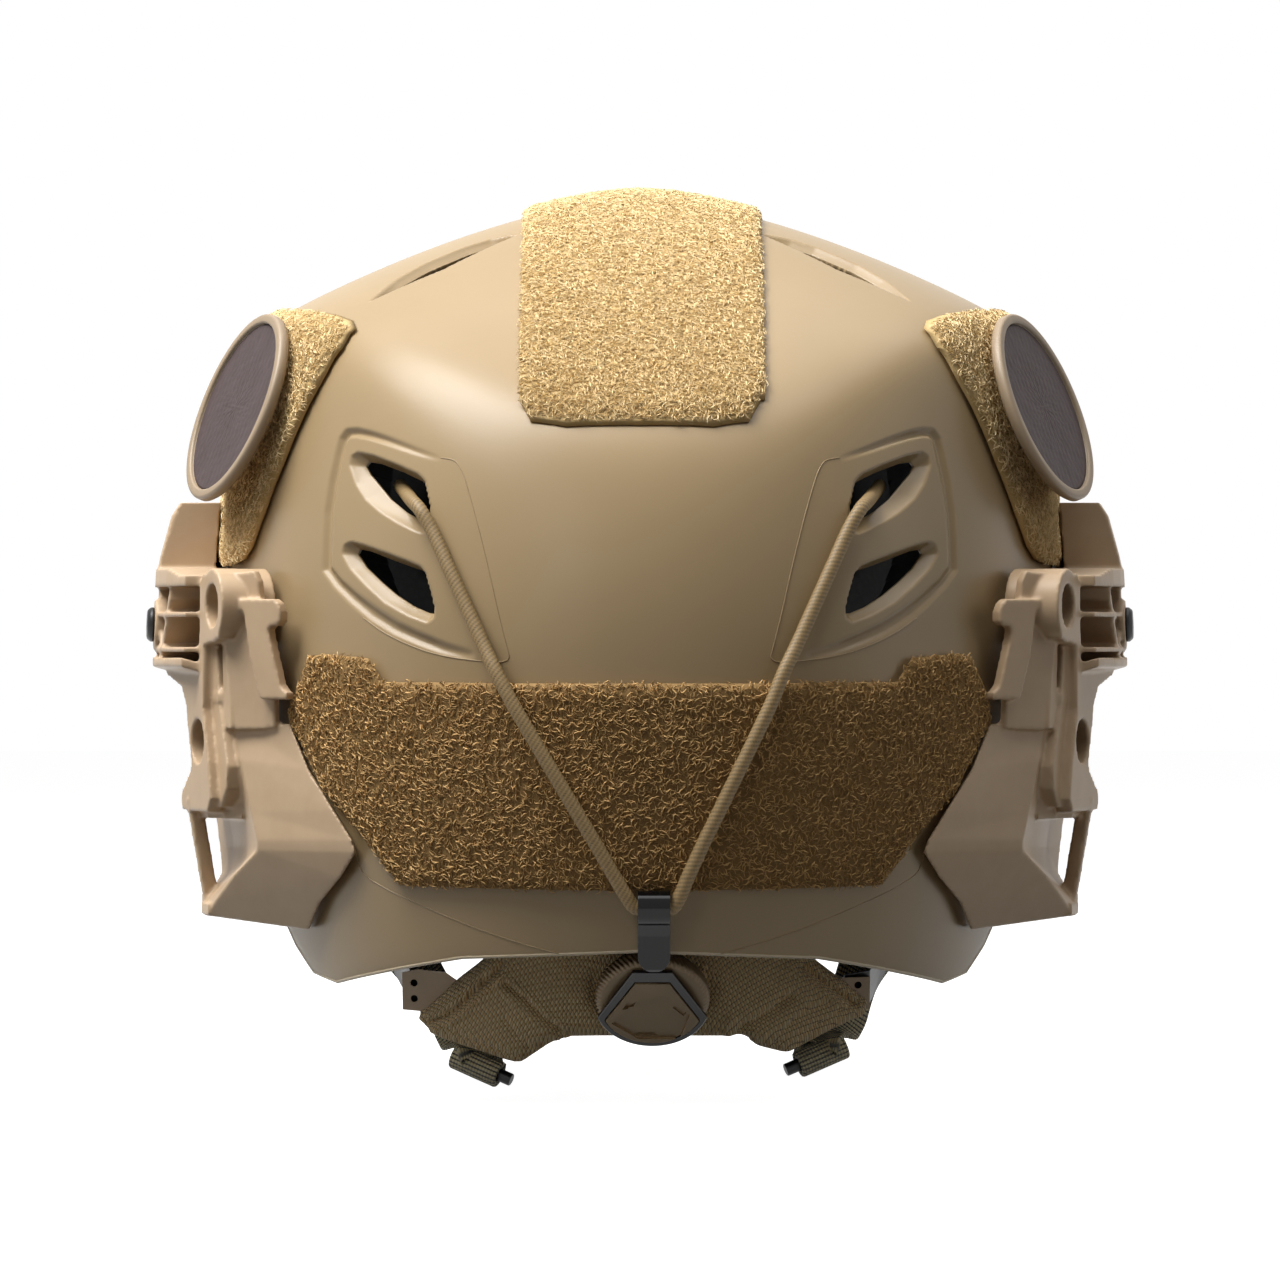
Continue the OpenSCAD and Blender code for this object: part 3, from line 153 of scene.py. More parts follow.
def skin_r(az, z, off=0.0):
    """Radius in mm at an angle in degrees, where 270 is the back, and a height in mm."""
    az, z = np.radians(np.asarray(az, float)), np.asarray(z, float)
    c, s, back = np.abs(np.cos(az)), np.abs(np.sin(az)), np.sin(az) < 0
    a = HALF_W - lean(z, SIDE_LEAN, SIDE_TUCK) + off
    rear, front = REAR - lean(z, REAR_LEAN, REAR_TUCK), FRONT - lean(z, FRONT_LEAN, REAR_TUCK)
    b = np.where(back, rear, front) + off
    k = np.where(back, ROOF_REAR, ROOF_FRONT)
    wall = ((c / a) ** WALL_SHAPE + (s / b) ** WALL_SHAPE) ** (-1 / WALL_SHAPE)
    fall = np.maximum(0.001, TOP + off - z)
    reach = HALF_W * (fall / ROOF_FALL) ** (1 / ROOF_POWER)
    roof = reach * (c ** ROOF_SHAPE + (s / k) ** ROOF_SHAPE) ** (-1 / ROOF_SHAPE)
    return (wall ** -BLEND + roof ** -BLEND) ** (-1 / BLEND)


def skin(az, z, off=0.0):
    """Points of the skin, as rows of x, y and z in mm."""
    az, z = np.broadcast_arrays(np.asarray(az, float), np.asarray(z, float))
    r = skin_r(az, z, off)
    return np.stack([r * np.cos(np.radians(az)), r * np.sin(np.radians(az)), z], -1)


def rim_z(az):
    return np.interp(np.abs((np.asarray(az) + 270) % 360 - 180), *np.array(RIM, float).T)


def halve(test, lo, hi, steps=26):
    """The value where test turns from true to false, found by halving for a whole array."""
    for _ in range(steps):
        mid = (lo + hi) / 2
        on = test(mid)
        lo, hi = np.where(on, mid, lo), np.where(on, hi, mid)
    return (lo + hi) / 2


def arrays(*values):
    return np.broadcast_arrays(*(np.asarray(v, float) for v in values))


def back_at(x, z, off=0.0):
    """Points of the rear half by x and z. The next two give the side and the top."""
    x, z, off = arrays(x, z, off)
    turn = halve(
        lambda t: skin(270 + t, z, off)[..., 0] < np.abs(x),
        np.zeros(x.shape), np.full(x.shape, 90.0),
    )
    p = skin(270 + turn, z, off)
    return np.stack([np.sign(x) * p[..., 0], p[..., 1], z], -1)


def side_at(y, z, off=0.0):
    y, z, off = arrays(y, z, off)
    turn = halve(
        lambda t: skin(t, z, off)[..., 1] < y, np.full(y.shape, -90.0), np.full(y.shape, 90.0)
    )
    return skin(turn, z, off)


def top_at(x, y, off=0.0):
    x, y, off = arrays(x, y, off)
    az, r = np.degrees(np.arctan2(y, x)), np.hypot(x, y)
    z = halve(lambda h: skin_r(az, h, off) > r, np.full(x.shape, float(WIDEST_Z)), TOP + off)
    return np.stack([x, y, z], -1)


print("shell width in mm:", round(float(2 * skin_r(0, WIDEST_Z)), 1))

# %% [markdown]
# Each finish below is a small node tree. One function adds a node with its settings and
# links, another turns a written colour into the linear values a shader wants, and a third
# starts a material with its shader and its place in the piece.

# %% Helpers for materials


def linear(colour):
    """A written sRGB colour as linear red, green, blue and alpha."""
    parts = [int(colour[i : i + 2], 16) / 255 for i in (1, 3, 5)]
    return tuple(p / 12.92 if p <= 0.04045 else ((p + 0.055) / 1.055) ** 2.4 for p in parts) + (1,)


def add(tree, kind, settings=None, inputs=None):
    """Adds a node. An input is a value, or a node and the name of the output that feeds it."""
    made = tree.nodes.new(kind)
    for key, value in (settings or {}).items():
        setattr(made, key, value)
    for key, value in (inputs or {}).items():
        if isinstance(value, tuple) and isinstance(value[0], bpy.types.Node):
            tree.links.new(value[0].outputs[value[1]], made.inputs[key])
        else:
            made.inputs[key].default_value = value
    return made


def emptied(owner):
    owner.use_nodes = True
    owner.node_tree.nodes.clear()
    return owner.node_tree


def new_material(name, **shader):
    """A material with its shader. The shader's plain values are set on its own sockets."""
    made = bpy.data.materials.new(name)
    tree = emptied(made)
    bsdf = add(tree, "ShaderNodeBsdfPrincipled", inputs=shader)
    add(tree, "ShaderNodeOutputMaterial", inputs={"Surface": (bsdf, "BSDF")})
    return made, tree, bsdf, add(tree, "ShaderNodeTexCoord")


def feed(tree, source, bsdf, name):
    """Links an output to one of the shader's inputs."""
    tree.links.new(source[0].outputs[source[1]], bsdf.inputs[name])


def mixed(tree, share, dark, light):
    """Two colours mixed by a share. Each is a written colour or a node's output."""
    ends = {6: dark, 7: light}
    inputs = {k: linear(v) if isinstance(v, str) else v for k, v in ends.items()}
    return add(tree, "ShaderNodeMix", {"data_type": "RGBA"}, {0: share, **inputs}), 2


def maths(tree, operation, *values):
    """A maths node's output."""
    return add(tree, "ShaderNodeMath", {"operation": operation}, dict(enumerate(values))), "Value"


def mapped(tree, value, **ends):
    """A value stretched between ends, such as From_Min."""
    inputs = {key.replace("_", " "): end for key, end in ends.items()}
    return add(tree, "ShaderNodeMapRange", inputs={"Value": value, **inputs}), "Result"


def noise(tree, place, size_mm, **more):
    """Cloudy noise on the piece's own coordinates, with features of one size."""
    inputs = {"Vector": (place, "Object"), "Scale": PER_M / size_mm, **more}
    return add(tree, "ShaderNodeTexNoise", inputs=inputs), "Fac"


def relief(tree, bsdf, height, strength, deep_mm):
    """Fine relief in the shader's normal."""
    inputs = {"Strength": strength, "Distance": deep_mm * MM, "Height": height}
    feed(tree, (add(tree, "ShaderNodeBump", inputs=inputs), "Normal"), bsdf, "Normal")


def ripple(tree, split, axis, size_mm):
    """A sine along one axis of the UV map, which crosses zero at every size."""
    return maths(tree, "SINE", maths(tree, "MULTIPLY", (split, axis), math.pi / size_mm))


PER_M = 1 / MM  # a pattern's scale counts features in a metre


def moulded_polymer(
    name, dark, light, roughness, grain_mm, bump=0.05, mottle_mm=30, specular=0.5
):
    """A moulded plastic: soft colour mottle from the melt and a fine spark-eroded grain."""
    shader = {"Roughness": roughness, "IOR": 1.5, "Specular IOR Level": specular}
    made, tree, bsdf, place = new_material(name, **shader)
    mottle = noise(tree, place, mottle_mm, Detail=4.0, Roughness=0.6)
    feed(tree, mixed(tree, mottle, dark, light), bsdf, "Base Color")
    relief(tree, bsdf, noise(tree, place, grain_mm, Detail=2.0), bump, 0.1)
    return made


# Painted nylon shell: matt coyote paint with the orange peel of a sprayed coat
shell_paint = moulded_polymer(
    "sprayed_matt_coyote_paint", "#8e7958", "#9a8463", 0.34, 0.9, 0.12, 60, 0.25
)
# Rails: glass-filled nylon, moulded in colour, a touch pinker and with cloudy flow marks
rail_nylon = moulded_polymer(
    "moulded_glass_filled_nylon_tan", "#ab9173", "#bba284", 0.44, 0.7, 0.1, 9, 0.3
)
# Small fittings: acetal moulded in black, with a satin face
black_acetal = moulded_polymer(
    "moulded_black_acetal", "#0d0c0c", "#161515", 0.38, 0.8, 0.06, 12, 0.25
)
# Hook: polished nylon, almost a mirror at its edges
gloss_black = moulded_polymer(
    "polished_black_nylon", "#050505", "#090909", 0.12, 3.0, 0.03, 15, 0.2
)
# Dial frame: smoked gloss plastic with a faint plum cast
smoked_gloss = moulded_polymer(
    "gloss_smoked_polycarbonate", "#1d181a", "#2f2629", 0.14, 3.0, 0.03, 10, 0.3
)
# Dial cap and collar: satin moulded nylon in olive tan
dial_tan = moulded_polymer(
    "satin_moulded_nylon_olive_tan", "#8d7656", "#9c8463", 0.4, 1.2, 0.05, 8, 0.3
)
# Liner: expanded polypropylene, whose fused beads are about 3 mm across
bead_foam, tree, bsdf, place = new_material(
    "expanded_bead_foam_black", Roughness=0.85, IOR=1.45
)
beads = add(
    tree, "ShaderNodeTexVoronoi", {"feature": "DISTANCE_TO_EDGE"},
    {"Vector": (place, "Object"), "Scale": PER_M / 3},
)
feed(tree, mixed(tree, (beads, "Distance"), "#0a0a0a", "#232222"), bsdf, "Base Color")
relief(tree, bsdf, (beads, "Distance"), 0.5, 0.3)


def cloth_start(name, roughness, sheen, coord):
    """A sheened cloth, and the node that splits the coordinates of its yarns."""
    shader = {"Sheen Weight": sheen, "Sheen Roughness": 0.4}
    made, tree, bsdf, place = new_material(name, Roughness=roughness, IOR=1.5, **shader)
    return made, tree, bsdf, add(tree, "ShaderNodeSeparateXYZ", inputs={0: (place, coord)})


def woven(name, dark, light, yarn_mm, roughness=0.8, coord="UV", gap="#15110d", dip_shade_width=0.3):
    """A plain weave from two crossed waves, one for each set of yarns, in mm. The gap
    colour is painted shade where the yarns dip.
    """
    made, tree, bsdf, split = cloth_start(name, roughness, 0.25, coord)
    over = maths(tree, "MULTIPLY", *(ripple(tree, split, axis, yarn_mm) for axis in "XY"))
    height = maths(tree, "ABSOLUTE", over)
    yarn = mixed(tree, mapped(tree, over, From_Min=-0.5, From_Max=0.5), dark, light)
    # Painted shade: the gap colour where the yarns dip under each other
    holes = mapped(tree, height, From_Min=0.02, From_Max=dip_shade_width)
    feed(tree, mixed(tree, holes, gap, yarn), bsdf, "Base Color")
    relief(tree, bsdf, height, 0.9, 0.35)
    return made


def ribbed(name, gap, low, high, pitch_mm):
    """Tape with a rib across it at every pitch, each rib broken by the yarns that cross it,
    with painted shade in the grooves and a painted highlight on the rib tops.
    """
    made, tree, bsdf, split = cloth_start(name, 0.75, 0.2, "UV")
    rib = maths(tree, "ABSOLUTE", ripple(tree, split, "Y", pitch_mm))
    yarns = maths(tree, "ABSOLUTE", ripple(tree, split, "X", 0.9 * pitch_mm))
    broken = mapped(tree, yarns, To_Min=0.6, To_Max=1.0)
    height = maths(tree, "MULTIPLY", rib, broken)
    # Pale rib tops and dark grooves: painted highlight and painted shade
    top = mapped(tree, height, From_Min=0.25, From_Max=0.65)
    feed(tree, mixed(tree, top, gap, mixed(tree, broken, low, high)), bsdf, "Base Color")
    relief(tree, bsdf, height, 0.9, 0.4)
    return made


# Nape pad: coarse nylon plain weave, whose yarns are about 0.7 mm apart. Its colours are
# paler than the cloth's own: painted light for a pad that sits in the shell's shade
nape_cloth_painted_light = woven(
    "coarse_woven_nylon_painted_light", "#dcb981", "#f6dcaa", 0.74, gap="#5c4930", dip_shade_width=0.2
)
# Webbing: tubular nylon tape with a rib across it about every millimetre. Its pale rib
# tops are a painted highlight and its dark grooves painted shade
webbing = ribbed("ribbed_nylon_webbing_olive_tan", "#1a1810", "#8a7f5c", "#f0e3bb", 0.9)
# Comfort pads: brushed knit over foam
pad_cover = woven("brushed_tricot_black", "#141312", "#262422", 0.8, 0.95, "Object")


def pile_cloth(name, deep, dark, light):
    """Loop pile: each fibre has its own shade, and the ground behind is darker."""
    shader = {"Roughness": 0.8, "IOR": 1.5, "Specular IOR Level": 0.25}
    made, tree, bsdf, place = new_material(name, **shader)
    shade = add(tree, "ShaderNodeAttribute", {"attribute_name": "fibre_shade"})
    body = mixed(tree, noise(tree, place, 4, Detail=3.0), dark, light)
    feed(tree, mixed(tree, (shade, "Fac"), deep, body), bsdf, "Base Color")
    return made


# Nylon loop pile: brushed loops about 1 mm tall, matted in use
pile_sand = pile_cloth("brushed_loop_pile_sand", "#a98b56", "#e0c48c", "#f6e2b8")
pile_coyote = pile_cloth("brushed_loop_pile_coyote", "#69502b", "#b89158", "#dcb57c")
print("materials so far:", len(bpy.data.materials))

# %% [markdown]
# Every mesh is made in millimetres from the same numbers as the source, and turned into
# metres in one place. Each piece's object stays at the origin, so a pattern on its object
# coordinates never slides.

# %% Helpers for meshes


def mesh_of(name, points, faces, edges=()):
    """A mesh from points in mm."""
    mesh = bpy.data.meshes.new(name)
    rows = [tuple(p) for p in np.asarray(points, float) * MM]
    mesh.from_pydata(rows, list(edges), [tuple(f) for f in faces])
    return mesh


@contextmanager
def editing(mesh):
    """A mesh opened for editing, and written back at the end."""
    bm = bmesh.new()
    bm.from_mesh(mesh)
    yield bm
    bm.to_mesh(mesh)
    bm.free()


def piece(name, points, faces, material, body, *nodes):
    """A mesh in mm made into an object that rides on a body and stands for CAD nodes."""
    made = placed(name, mesh_of(name, points, faces))
    made.data.validate()
    with editing(made.data) as bm:
        bmesh.ops.recalc_face_normals(bm, faces=bm.faces)
    return settle(made, material, body, *nodes)


def settle(made, material, body, *nodes, smooth=True):
    """Gives a finished object its material, its shading and the body that it rides on."""
    for polygon in made.data.polygons:
        polygon.use_smooth = smooth
    made.data.materials.clear()
    made.data.materials.append(material)
    if body:
        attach(made, body)
    if nodes:
        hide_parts(*nodes)
    return made


def plain_mesh(made):
    """Applies every modifier, so that the piece is a plain mesh with none left."""
    seen = made.evaluated_get(bpy.context.evaluated_depsgraph_get())
    mesh = bpy.data.meshes.new_from_object(seen)
    made.modifiers.clear()
    made.data = mesh
    return made


def modify(made, kind, **settings):
    """Adds a modifier with its settings and applies it."""
    added = made.modifiers.new(kind.lower(), kind)
    for key, value in settings.items():
        setattr(added, key, value)
    return plain_mesh(made)


def copy_of(node, name):
    """A merged copy of a CAD node's mesh, with its triangles joined into faces."""
    made = placed(name, frame["nodes"][node].data.copy())
    with editing(made.data) as bm:
        bmesh.ops.remove_doubles(bm, verts=bm.verts, dist=0.004 * MM)
        flat = math.radians(1.5)
        bmesh.ops.dissolve_limit(bm, angle_limit=flat, verts=bm.verts, edges=bm.edges)
    return made


def eased(node, material, width=0.35, segments=2):
    """A rigid moulding: the CAD shape with its edges eased, as any mould leaves them."""
    made = copy_of(node, node + "_moulding")
    for polygon in made.data.polygons:
        polygon.use_smooth = True
    bend = math.radians(32)
    modify(made, "BEVEL", width=width * MM, segments=segments, angle_limit=bend)
    made.data.set_sharp_from_angle(angle=math.radians(38))
    modify(made, "WEIGHTED_NORMAL", keep_sharp=True)
    return settle(made, material, body_of(node), node)


def softened(node, material, voxel_mm, rounds, budget):
    """A large moulding whose every edge is rounded: even cells, smoothed, then thinned out."""
    made = copy_of(node, node + "_moulding")
    remesh = made.modifiers.new("even_cells", "REMESH")
    remesh.mode, remesh.voxel_size = "VOXEL", voxel_mm * MM
    modify(made, "SMOOTH", factor=0.5, iterations=rounds)
    count = sum(len(polygon.vertices) - 2 for polygon in made.data.polygons)
    modify(made, "DECIMATE", ratio=min(1.0, budget / count))
    print(node, "triangles before thinning:", count)
    return settle(made, material, body_of(node), node)


def ring_faces(n, m, closed=False):
    """Quads between n rings of m points each, and back to the first ring where closed."""
    return [
        (i * m + k, i * m + (k + 1) % m, (i + 1) % n * m + (k + 1) % m, (i + 1) % n * m + k)
        for i in range(n if closed else n - 1) for k in range(m)
    ]


def unit(rows):
    return rows / np.linalg.norm(rows, axis=1)[:, None]


def lengths_along(line):
    """The length of a line up to each of its points."""
    return np.concatenate([[0], np.cumsum(np.linalg.norm(np.diff(line, axis=0), axis=1))])


def store(made, name, values):
    """Stores a number for each point of a mesh, for its material to read."""
    layer = made.data.attributes.new(name, "FLOAT", "POINT")
    layer.data.foreach_set("value", np.asarray(values, np.float32))


def lay_uv(made, per_loop):
    """Writes a UV map in mm, one row for each corner of a face."""
    uv = made.data.uv_layers
    layer = uv.get("weave") or uv.new(name="weave")
    layer.data.foreach_set("uv", np.asarray(per_loop).astype(np.float32).ravel())


def corners(made):
    """The place in mm of each corner of each face."""
    return np.array([made.data.vertices[l.vertex_index].co for l in made.data.loops]) / MM


def slab_faces(n, m):
    """Faces of a closed slab between two grids of n rows and m columns."""
    count = n * m
    faces = []
    for i in range(n - 1):
        for j in range(m - 1):
            a = i * m + j
            b = count + a
            faces += [(a, a + 1, a + m + 1, a + m), (b, b + m, b + m + 1, b + 1)]
    for i in range(n - 1):
        a, b = i * m, i * m + m - 1
        faces += [(a, a + m, count + a + m, count + a), (b, count + b, count + b + m, b + m)]
    for j in range(m - 1):
        b = (n - 1) * m + j
        faces += [(j, count + j, count + j + 1, j + 1), (b, b + 1, count + b + 1, count + b)]
    return faces


print("mesh helpers are ready")

# %% [markdown]
# The shock cord is a braided elastic that comes out of each upper vent and runs down to a
# hook under the rim. The cord comes early, because where it lies decides how much room the
# model takes. Its route repeats the points of the part's source, drawn out to a smooth
# line, and its braid is real relief: each ring of the tube is a little thicker or thinner.

# %% Shock cord
cord_leg = [
    (-59, 75.5, -12), (-57.8, 74, -7), (-56.6, 72.6, -3), (-55.4, 71.2, 0.6), (-53.4, 69, 3),
    (-50.4, 63.8, 2.4), (-46.2, 54.6, 2.2), (-42, 45.4, 2.2), (-37.8, 36.2, 3),
    (-34.6, 29.6, 4.4), (-30.6, 22, 5), (-25.8, 13.8, 5), (-20.8, 5.4, 5), (-15.8, -3, 5),
    (-10.8, -11.4, 5), (-6.4, -19, 5.1), (-3.4, -24, 5.3),
]
CORD_D = 3.5
HOOK_X, HOOK_Z, HOOK_OFF = 3.4, -27, 5.4
left_leg = [back_at(x, z, off) for x, z, off in cord_leg]
right_leg = [
    back_at(-x + max(0, i - 9) * 0.9, z, off) for i, (x, z, off) in enumerate(cord_leg)
][::-1]
bar_y = float(back_at(0, HOOK_Z, HOOK_OFF)[1])
barrel = [np.array([x, bar_y, HOOK_Z]) for x in (-0.9, HOOK_X, 7.7)]
cord_route = np.array(left_leg + barrel + right_leg)


def smooth_line(points, step):
    """A Catmull-Rom line through the points, cut into equal steps in mm."""
    p = np.vstack([2 * points[0] - points[1], points, 2 * points[-1] - points[-2]])
    t = np.linspace(0, 1, 24, endpoint=False)[:, None]
    spans = []
    for a, b, c, d in zip(p, p[1:], p[2:], p[3:]):
        square, cube = 2 * a - 5 * b + 4 * c - d, 3 * b - a - 3 * c + d
        spans.append(0.5 * (2 * b + (c - a) * t + square * t ** 2 + cube * t ** 3))
    line = np.vstack(spans + [points[-1:]])
    along = lengths_along(line)
    even = np.linspace(0, along[-1], max(2, int(along[-1] / step) + 1))
    return np.stack([np.interp(even, along, line[:, k]) for k in range(3)], -1), even


def tube(name, line, radii, sides, material, body, *nodes, up=(0, 1, 0)):
    """A closed tube along a line, with a radius for each ring and side."""
    heading = unit(np.gradient(line, axis=0))
    u = unit(np.cross(heading, up))
    v = np.cross(u, heading)
    turn = np.linspace(0, 2 * np.pi, sides, endpoint=False)[None, :, None]
    radii = np.broadcast_to(np.asarray(radii, float), (len(line), sides))
    outward = np.cos(turn) * u[:, None] + np.sin(turn) * v[:, None]
    rings = line[:, None] + radii[..., None] * outward
    points = np.vstack([rings.reshape(-1, 3), line[:1], line[-1:]])
    n, last = len(line), (len(line) - 1) * sides
    faces = ring_faces(n, sides)
    faces += [(n * sides, (k + 1) % sides, k) for k in range(sides)]
    faces += [(n * sides + 1, last + k, last + (k + 1) % sides) for k in range(sides)]
    return piece(name, points, faces, material, body, *nodes)


# The braid: two sets of yarns cross about every millimetre along the cord. Its colour
# follows the braid's relief: painted shade in the grooves, a painted highlight on the ridges
braid_tan, tree, bsdf, place = new_material("braided_polyester_sleeve_tan", Roughness=0.6, IOR=1.5)
lay = add(tree, "ShaderNodeAttribute", {"attribute_name": "braid"})
feed(tree, mixed(tree, (lay, "Fac"), "#2a1e0c", "#8f7549"), bsdf, "Base Color")

cord_line, cord_along = smooth_line(cord_route, 0.3)
CORD_SIDES, BRAID_PITCH, BRAID_DEPTH = 16, 1.1, 0.16
turn = np.linspace(0, 2 * np.pi, CORD_SIDES, endpoint=False)[None, :]
lay_height = np.abs(np.cos(cord_along[:, None] * np.pi / BRAID_PITCH + turn * 2))
cord_radii = CORD_D / 2 - BRAID_DEPTH * (1 - lay_height)
cord = tube(
    "shock_cord_braid", cord_line, cord_radii, CORD_SIDES, braid_tan, None, "shock_cord"
)
# The braid's height also sets its colour: painted shade low, painted highlight high
store(cord, "braid", np.concatenate([lay_height.ravel(), [0.5, 0.5]]))
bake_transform(cord)

# %% [markdown]
# The shell is one dome with pressed panels and vents at the rear. Its mesh starts as an
# even grid of angle and height, and is divided again only where a groove or a vent runs,
# so the edges are crisp and the rest stays light. The vents are cut along their outlines,
# and everything pressed in is a depth that depends on how far a point is from a line.

# %% Outlines on the shell, as seen from behind or from above, in mm
upper_hole = [
    (-69.2, 80.8), (-68.3, 81.9), (-65.6, 81.5), (-59.8, 79.4), (-54.5, 76.9), (-53.0, 75.6),
    (-52.4, 73.0), (-51.7, 69.5), (-52.0, 66.6), (-54.9, 67.2), (-58.7, 69.3), (-62.6, 72.4),
    (-65.5, 75.8), (-68.0, 78.7),
]
upper_lip = [
    (-71.5, 80.6), (-71.1, 82.8), (-69.5, 83.8), (-65.6, 82.9), (-59.8, 80.6), (-54.5, 78.2),
    (-52.7, 76.5), (-52.0, 73.7), (-51.1, 69.4), (-51.2, 64.8), (-52.9, 63.3), (-55.1, 64.0),
    (-59.6, 66.3), (-63.5, 68.7), (-67.4, 72.0), (-69.9, 75.9),
]
lower_hole = [
    (-71.1, 58.9), (-70.5, 60.1), (-67.8, 59.6), (-62.0, 57.4), (-56.7, 55.5), (-54.3, 54.8),
    (-53.1, 53.8), (-52.4, 51.3), (-51.4, 48.0), (-50.7, 45.2), (-51.3, 44.1), (-52.8, 44.3),
    (-56.6, 45.9), (-61.0, 48.7), (-64.8, 51.8), (-68.7, 55.4),
]
lower_lip = [
    (-73.2, 58.7), (-72.8, 60.8), (-71.1, 61.7), (-67.8, 60.8), (-62.0, 58.8), (-56.2, 56.6),
    (-53.6, 55.4), (-52.2, 53.6), (-50.7, 48.5), (-49.9, 44.7), (-50.2, 42.7), (-51.7, 41.6),
    (-56.6, 43.4), (-62.4, 46.6), (-67.2, 50.9), (-71.2, 55.1),
]
panel_groove = [
    (-48.6, 81.5), (-55.0, 83.7), (-62.3, 86.5), (-66.2, 87.8), (-69.6, 88.6), (-72.0, 88.5),
    (-73.2, 86.9), (-74.2, 83.1), (-75.6, 76.5), (-76.7, 68.9), (-77.0, 61.3), (-77.1, 55.0),
    (-74.3, 51.4), (-70.1, 47.6), (-65.3, 43.9), (-59.5, 40.3), (-53.8, 37.8), (-47.6, 35.4),
    (-41.5, 33.8),
]
parting_line = [
    (-48.6, 81.9), (-45.5, 81.3), (-44.1, 79.9), (-42.7, 76.8), (-40.2, 68.4), (-37.9, 59.6),
    (-36.0, 51.7), (-34.1, 43.3), (-32.2, 35.9), (-31.6, 33.4), (-32.7, 32.3), (-35.9, 32.2),
    (-40.6, 32.6), (-47.6, 33.6), (-54.7, 35.7), (-61.9, 39.0), (-67.7, 42.9),
]
scribe_line = [
    (-69.8, -12.8), (-69.1, -16.9), (-67.1, -20.3), (-61.0, -23.8), (-53.6, -27.0), (-41.2, -31.9),
    (-29.0, -35.9), (-19.6, -38.4),
]
top_vent = [
    (-66, -60), (-60, -51.5), (-54, -45.5), (-44, -39.5), (-38, -37.5), (-33, -37.2),
    (-40, -43.5), (-50, -52),
]
top_lip = [
    (-68, -61.5), (-61.5, -50.4), (-55, -43.8), (-44.6, -37.7), (-38, -35.7), (-30.6, -36.3),
    (-39.6, -44.2), (-49.7, -52.8),
]
rings = (upper_hole, upper_lip, lower_hole, lower_lip, top_vent, top_lip)
lines = (panel_groove, parting_line, scribe_line)
print("outlines:", len(rings), "rings and", len(lines), "lines")

# %% Distances to an outline


def cuts_of(outline, closed):
    a = np.array(outline, float)
    b = np.roll(a, -1, 0) if closed else a[1:]
    return (a if closed else a[:-1]), b


def distance(points, outline, closed=True):
    """Distance from each point to an outline, and the nearest point and the share along it."""
    a, b = cuts_of(outline, closed)
    span = b - a
    t = np.clip(((points[:, None] - a) * span).sum(-1) / (span ** 2).sum(-1), 0, 1)
    near = a + t[..., None] * span
    gap = np.linalg.norm(points[:, None] - near, axis=-1)
    best = gap.argmin(1)
    rows = np.arange(len(points))
    lengths = np.concatenate([[0], np.cumsum(np.linalg.norm(span, axis=1))])
    share = (lengths[best] + t[rows, best] * (lengths[best + 1] - lengths[best])) / lengths[-1]
    return gap[rows, best], near[rows, best], share


def within(points, outline):
    """Whether each point lies inside a closed outline."""
    a, b = cuts_of(outline, True)
    x, y = points[:, :1], points[:, 1:]
    crosses = (a[:, 1] > y) != (b[:, 1] > y)
    climb = np.where(b[:, 1] == a[:, 1], 1e-9, b[:, 1] - a[:, 1])
    at = a[:, 0] + (y - a[:, 1]) * (b[:, 0] - a[:, 0]) / climb
    return (crosses & (x < at)).sum(1) % 2 == 1


def rise(t):
    """A smooth step from 0 to 1."""
    t = np.clip(t, 0, 1)
    return t * t * (3 - 2 * t)


def lip_depth(flat, hole, lip, deepest):
    """Deepest at a vent's edge and inside it, and 0 from the outer edge of its lip."""
    from_hole, from_lip = distance(flat, hole)[0], distance(flat, lip)[0]
    share = from_hole / np.maximum(1e-6, from_hole + from_lip)
    share = np.where(within(flat, hole), 0, np.where(within(flat, lip), share, 1))
    return deepest * (1 - share) ** 0.8 * (share < 1)


crossed = sum(a[0] * b[1] - b[0] * a[1] for a, b in zip(*cuts_of(upper_hole, True)))
print("a vent's area in mm2:", round(abs(crossed) / 2))

# %% [markdown]
# `dome_place` turns angle and share of height into points. Both the shell and the foam
# liner use it, and both are cut by the same routine: it finds the cells inside a vent,
# takes them out, and pulls the ragged edge onto the outline.

# %% A dome with vents

REAR_RING, TOP_RING = 0, 1
REAR_FROM_Y, TOP_FROM_Z = -40, 90  # where a point counts as on the rear or on the roof


def rows_to_height(az, v, top, raise_mm=0.0):
    low = rim_z(az) + raise_mm
    return top - (top - low) * (1 - v) ** 1.6


def flat_of(points, plane):
    """The mirrored left-hand place of points, as seen from behind or from above."""
    x = -np.abs(points[:, 0])
    return np.stack([x, points[:, 2] if plane == REAR_RING else points[:, 1]], -1)


def faces_towards(points, plane):
    return points[:, 1] < REAR_FROM_Y if plane == REAR_RING else points[:, 2] > TOP_FROM_Z


def divided_grid(columns, rows, place, needs, levels):
    """A grid of shares, divided again wherever needs(points) says so."""
    bm = bmesh.new()
    grid = [
        [bm.verts.new((i / columns, j / rows, 0)) for j in range(rows + 1)]
        for i in range(columns + 1)
    ]
    for i in range(columns):
        for j in range(rows):
            bm.faces.new((grid[i][j], grid[i + 1][j], grid[i + 1][j + 1], grid[i][j + 1]))
    for level in range(levels):
        bm.faces.ensure_lookup_table()
        middles = np.array([f.calc_center_median()[:2] for f in bm.faces])
        wanted = needs(place(middles[:, 0], middles[:, 1]), level)
        edges = {e for f, on in zip(bm.faces, wanted) if on for e in f.edges}
        bmesh.ops.subdivide_edges(bm, edges=list(edges), cuts=1, use_grid_fill=True)
    bm.verts.ensure_lookup_table()
    bm.verts.index_update()
    shares = np.array([v.co[:2] for v in bm.verts])
    faces = [[v.index for v in f.verts] for f in bm.faces]
    bm.free()
    return shares, faces


